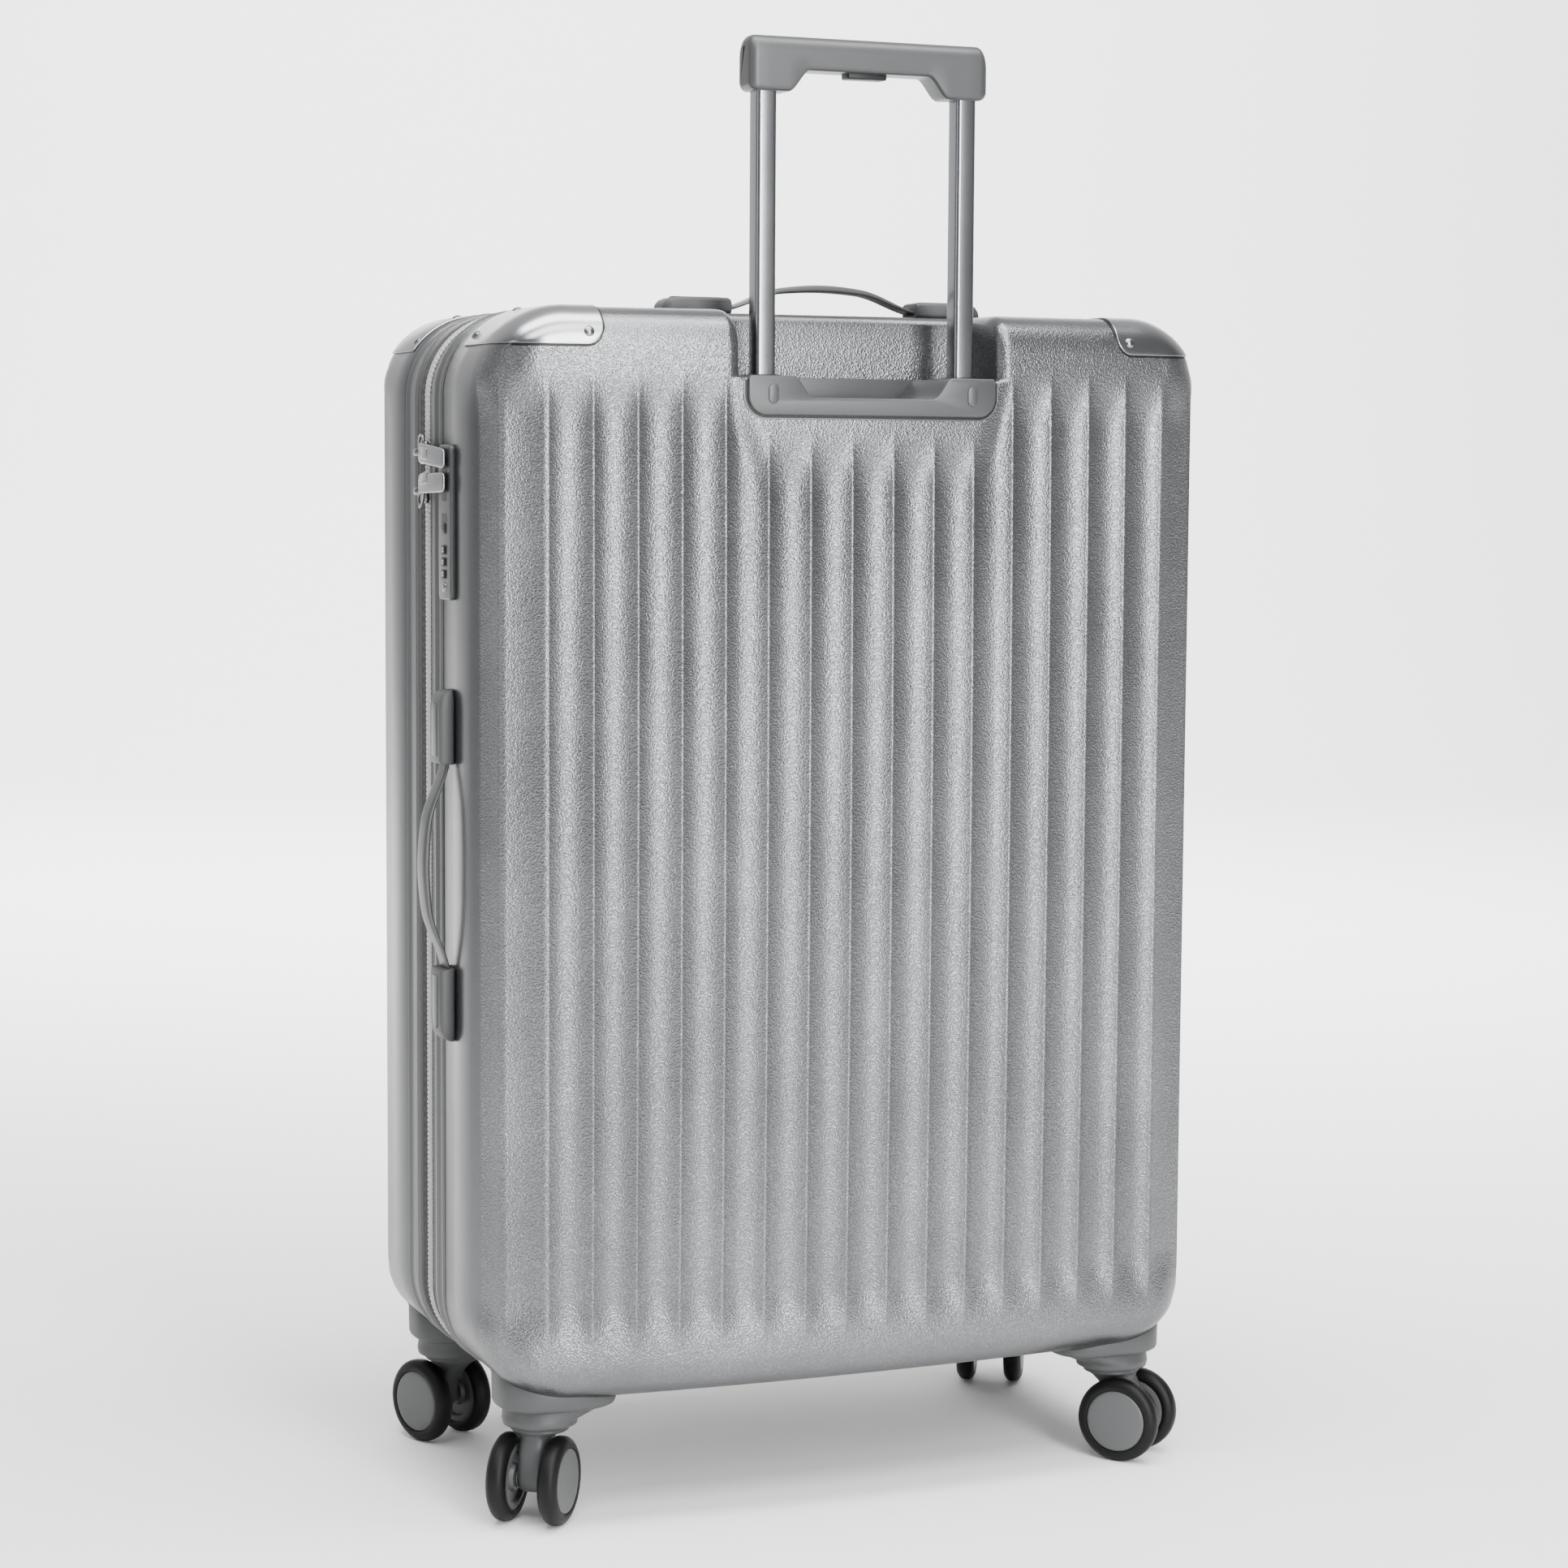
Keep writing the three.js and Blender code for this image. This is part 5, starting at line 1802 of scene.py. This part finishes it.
@dataclass
class Lining:
    """Cloth lining of one half, and what is fixed to it: crossed straps, a buckle and a cover."""

    surface: CaseSurface
    sign: float
    depth: float
    mouth: float
    inset: float = 7.0
    cloth: float = 0.8
    strap_wide: float = 25.0
    strap_thick: float = 1.3
    strap_foot: tuple[float, float, float] = (246.5, 62.0, 292.0)
    buckle_depth: float = 34.0
    cover_wall: float = 1.2

    def build(self, bench: Bench, name: str, body: str) -> None:
        """Builds the lining tray.

        Args:
            bench: where pieces are placed.
            name: the pieces' first name.
            body: the body that carries it.
        """
        outer = self.surface
        inner = CaseSurface(half_width=outer.half_width - self.inset, half_depth=self.depth, crown=0.0,
                            crown_up=0.0,
                            base_z=outer.base_z + self.inset, top_z=outer.top_z - self.inset,
                            corner=outer.corner - self.inset, plan=36.0, roll=25.0)
        columns = [inner.half_width * math.sin(math.pi / 2 * (i / 24)) for i in range(25)]
        columns = [-c for c in reversed(columns[1:])] + columns
        half = inner.top_z - inner.middle_z
        rows = [inner.middle_z + half * math.sin(math.pi / 2 * (i / 26)) for i in range(-26, 27)]
        rings = []
        for z in rows:
            ring = []
            for x in columns:
                point = inner.point(x, z, self.sign)
                if self.sign > 0:
                    near = min(1.0, max(0.0, (z - 716) / 20)) * min(1.0, max(0.0, (112 - abs(x)) / 16))
                    ease = near * near * (3 - 2 * near)
                    point.y = min(point.y, self.depth + (81.0 - self.depth) * ease)
                ring.append(point)
            rings.append(ring)
        bm = bmesh.new()
        lofted(bm, rings, capped=False, round_trip=False)
        edges = [edge for edge in bm.edges if edge.is_boundary]
        grown = bmesh.ops.extrude_edge_only(bm, edges=edges)["geom"]
        for item in grown:
            if isinstance(item, bmesh.types.BMVert):
                item.co.y = self.mouth
        bmesh.ops.recalc_face_normals(bm, faces=bm.faces)
        probe = max(bm.faces, key=lambda f: self.sign * f.calc_center_median().y)
        if probe.normal.y * self.sign > 0:
            bmesh.ops.reverse_faces(bm, faces=bm.faces)
        area = sum(face.calc_area() for face in bm.faces) * MM ** 2
        tray = bench.piece(bm, f"{name}_lining", body, LINING_CLOTH, "tape", sharp=70)
        thicken(tray, self.cloth)

    def straps(self, bench: Bench, body: str) -> None:
        """Builds the crossed packing straps with their buckle, and the cover over the lock's inside.

        Args:
            bench: where pieces are placed.
            body: the body that carries them.
        """
        middle = self.surface.middle_z
        depth = self.sign * self.buckle_depth
        foot_x, foot_y, foot_z = self.strap_foot
        for k, (sx, sz) in enumerate(((1, 1), (-1, 1), (-1, -1), (1, -1))):
            start = Vector((sx * foot_x, self.sign * foot_y, middle + sz * foot_z))
            end = Vector((sx * 12, depth, middle + sz * 15))
            across = (end - start).cross(Vector((0, 1, 0))).normalized()
            rings = []
            for i in range(41):
                lift = Vector((0, self.sign * 5 * math.sin(math.pi * i / 40), 0))
                rings.append([start.lerp(end, i / 40) + across * (self.strap_wide / 10 * j) + lift
                              for j in range(-5, 6)])
            bm = bmesh.new()
            lofted(bm, rings, capped=False, round_trip=False)
            bmesh.ops.recalc_face_normals(bm, faces=bm.faces)
            strap = bench.piece(bm, f"packing_strap_{k + 1}", body, WEBBING, "tape", sharp=70)
            thicken(strap, self.strap_thick, 0.0)
        buckle = bmesh.new()
        rounded_block(buckle, (-24, depth - 5, middle - 17), (24, depth + 4, middle + 17), 3.5, 4)
        rounded_block(buckle, (-15, depth - 6.2, middle - 10), (15, depth - 4, middle + 10), 1.0, 3)
        bench.piece(buckle, "packing_buckle", body, DARK_ABS_AND_SHADE, "dark_plastic", sharp=40)
        cover = bmesh.new()
        rounded_block(cover, (241, 38, 606), (262, 77, 718), 4.0, 4)
        behind = [face for face in cover.faces if face.calc_center_median().x > 257.9]
        bmesh.ops.delete(cover, geom=behind, context="FACES")
        thicken(bench.piece(cover, "lock_cover", body, DARK_ABS_AND_SHADE, "dark_plastic", sharp=40), self.cover_wall)


@dataclass(frozen=True)
class SoftBox:
    """A rectangular lamp of the studio, in metres and watts.

    Attributes:
        name: its name.
        spot: where it hangs.
        size: its width and height.
        power: its power.
        aim: the point that it looks at, by default the middle of the case.
    """

    name: str
    spot: tuple[float, float, float]
    size: tuple[float, float]
    power: float
    aim: tuple[float, float, float] = (0, 0, 0.45)

    def hang(self) -> None:
        """Adds the lamp to the scene."""
        light = bpy.data.lights.new(self.name, "AREA")
        light.shape, light.size, light.size_y, light.energy = "RECTANGLE", *self.size, self.power
        lamp = bpy.data.objects.new(self.name, light)
        lamp.location = self.spot
        lamp.rotation_euler = (Vector(self.aim) - Vector(self.spot)).to_track_quat("-Z", "Y").to_euler()
        bpy.context.scene.collection.objects.link(lamp)


SOFT_BOXES = (
    SoftBox("key", (-0.25, 3.2, 1.4), (0.75, 2.6), 165.0),
    SoftBox("edge", (3.0, 0.9, 1.2), (0.6, 2.4), 12.0),
    SoftBox("top", (0.1, 0.4, 3.2), (3.0, 1.0), 165.0),
    SoftBox("floor_wash", (0.5, 2.4, 3.4), (3.0, 1.6), 170.0, (0.5, 2.4, 0.0)),
    SoftBox("back", (0.0, -2.4, 3.4), (6.0, 1.4), 1150.0, (-2.4, -6.2, 0.8)),
)


def studio() -> None:
    """Builds the floor, the soft lights and the camera."""
    bm = bmesh.new()
    sweep = [math.radians(90 * i / 16) for i in range(17)]
    profile = [(-12.0, 0.0, 12.0), (4.5, 0.0, 12.0)]
    profile += [(5.0 + 2.5 * math.sin(angle), 2.5 - 2.5 * math.cos(angle), 3.6) for angle in sweep]
    profile += [(7.5, 9.0, 3.6)]
    turn = Matrix.Rotation(math.radians(-22.25), 3, "Z")
    rings = [[turn @ Vector((side * half, -y, z)) for side in (-1, 1)] for y, z, half in profile]
    lofted(bm, rings, capped=False, round_trip=False)
    bmesh.ops.recalc_face_normals(bm, faces=bm.faces)
    if sum(f.normal.z for f in bm.faces) < 0:
        bmesh.ops.reverse_faces(bm, faces=bm.faces)
    for face in bm.faces:
        face.smooth = True
    mesh = bpy.data.meshes.new("floor")
    bm.to_mesh(mesh)
    bm.free()
    paper = Finish("paper_sweep", "f4f4f3", "f0f0ef", 0.0, 0.9, Pattern.SPARK, 6.0, 0.01, 0.2)
    mesh.materials.append(paper.material())
    floor = bpy.data.objects.new("floor", mesh)
    bpy.context.scene.collection.objects.link(floor)

    world = bpy.data.worlds.new("studio")
    world.use_nodes = True
    tree = world.node_tree
    tree.nodes.clear()
    ray = add_node(tree, "ShaderNodeTexCoord").outputs["Generated"]
    facing = add_node(tree, "ShaderNodeVectorMath", {0: ray, 1: (-0.15, -0.97, 0.2)}, operation="DOT_PRODUCT")
    glow = add_node(tree, "ShaderNodeMapRange",
                    {"Value": facing.outputs["Value"], "From Min": -0.1, "From Max": 0.9,
                     "To Min": 0.3, "To Max": 1.3}, interpolation_type="SMOOTHSTEP")
    sky = add_node(tree, "ShaderNodeBackground",
                   {"Color": linear("f6f6f6"), "Strength": glow.outputs["Result"]})
    add_node(tree, "ShaderNodeOutputWorld", {"Surface": sky.outputs["Background"]})
    bpy.context.scene.world = world

    for box in SOFT_BOXES:
        box.hang()

    data = bpy.data.cameras.new("camera")
    data.lens, data.sensor_width = 79.56, 36.0
    camera = bpy.data.objects.new("camera", data)
    right, up, ahead = (Vector((-0.92573, 0.37815, 0.00591)), Vector((-0.02844, -0.08520, 0.99596)),
                        Vector((-0.37712, -0.92182, -0.08962)))
    camera.matrix_world = basis(right, up, -ahead, Vector((0.91285, 2.2555, 0.6962)))
    bpy.context.scene.collection.objects.link(camera)
    bpy.context.scene.camera = camera


def main() -> None:
    """Builds every sub-assembly in order, then the studio."""
    logging.basicConfig(level=logging.INFO, format="%(name)s: %(message)s")
    low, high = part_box("back_shell")
    tube_low, tube_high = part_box("trolley_tube_left")
    bench = Bench(Vector(((low.x + high.x) / 2, (tube_low.y + tube_high.y) / 2 - 132.0 * MM, 0.0)))
    surface = CaseSurface()
    halves = {1.0: Shell(surface, 1.0, 42.0), -1.0: Shell(surface, -1.0, -46.0)}
    floors: dict[float, BVHTree] = {}
    for sign, (name, body) in ((1.0, ("back_shell", "case")), (-1.0, ("front_shell", "lid"))):
        trace = halves[sign].mesh()
        floors[sign] = BVHTree.FromBMesh(trace)
        trace.free()
        halves[sign].build(bench, name, body)

    def floor_of(x: float, y: float) -> float:
        """Returns the height of the case's underside at a place in plan."""
        hit = floors[math.copysign(1.0, y)].ray_cast(Vector((x, y, 0.0)), Vector((0, 0, 1)))[0]
        return hit.z if hit else surface.base_z

    Seam(surface).build(bench)
    for sign, half, body in ((1.0, "back", "case"), (-1.0, "front", "lid")):
        for side, hand in ((1.0, "left"), (-1.0, "right")):
            CornerGuard(surface, side, sign).build(bench, f"corner_guard_{half}_{hand}", body)
    for name, side, sign, heading, body in (("back_left", 1, 1, 52, "case"),
                                            ("back_right", -1, 1, 131, "case"),
                                            ("front_left", 1, -1, 293, "lid"),
                                            ("front_right", -1, -1, 240, "lid")):
        Caster(surface, name, side, sign, heading, floor_of).build(bench, body)
    Trolley(surface).build(bench)
    x, y, z = Vector((1, 0, 0)), Vector((0, 1, 0)), Vector((0, 0, 1))
    CarryHandle("top_handle", "top_strap", x, z, -y, Vector((0, 57, surface.top_z + 0.3))).build(bench)
    CarryHandle("side_handle", "side_strap", -z, x, -y,
                Vector((surface.half_width + 0.3, 57, 435))).build(bench)
    Lock().build(bench)
    ZipSlider("upper", 708.0, 1.2, 1.0).build(bench)
    ZipSlider("lower", 682.0, 11.6, -1.0).build(bench)
    back_lining = Lining(surface, 1.0, 113.5, 3.0)
    back_lining.build(bench, "back", "case")
    back_lining.straps(bench, "case")
    Lining(surface, -1.0, 132.0, -1.0).build(bench, "front", "lid")
    studio()


if __name__ == "__main__":
    main()
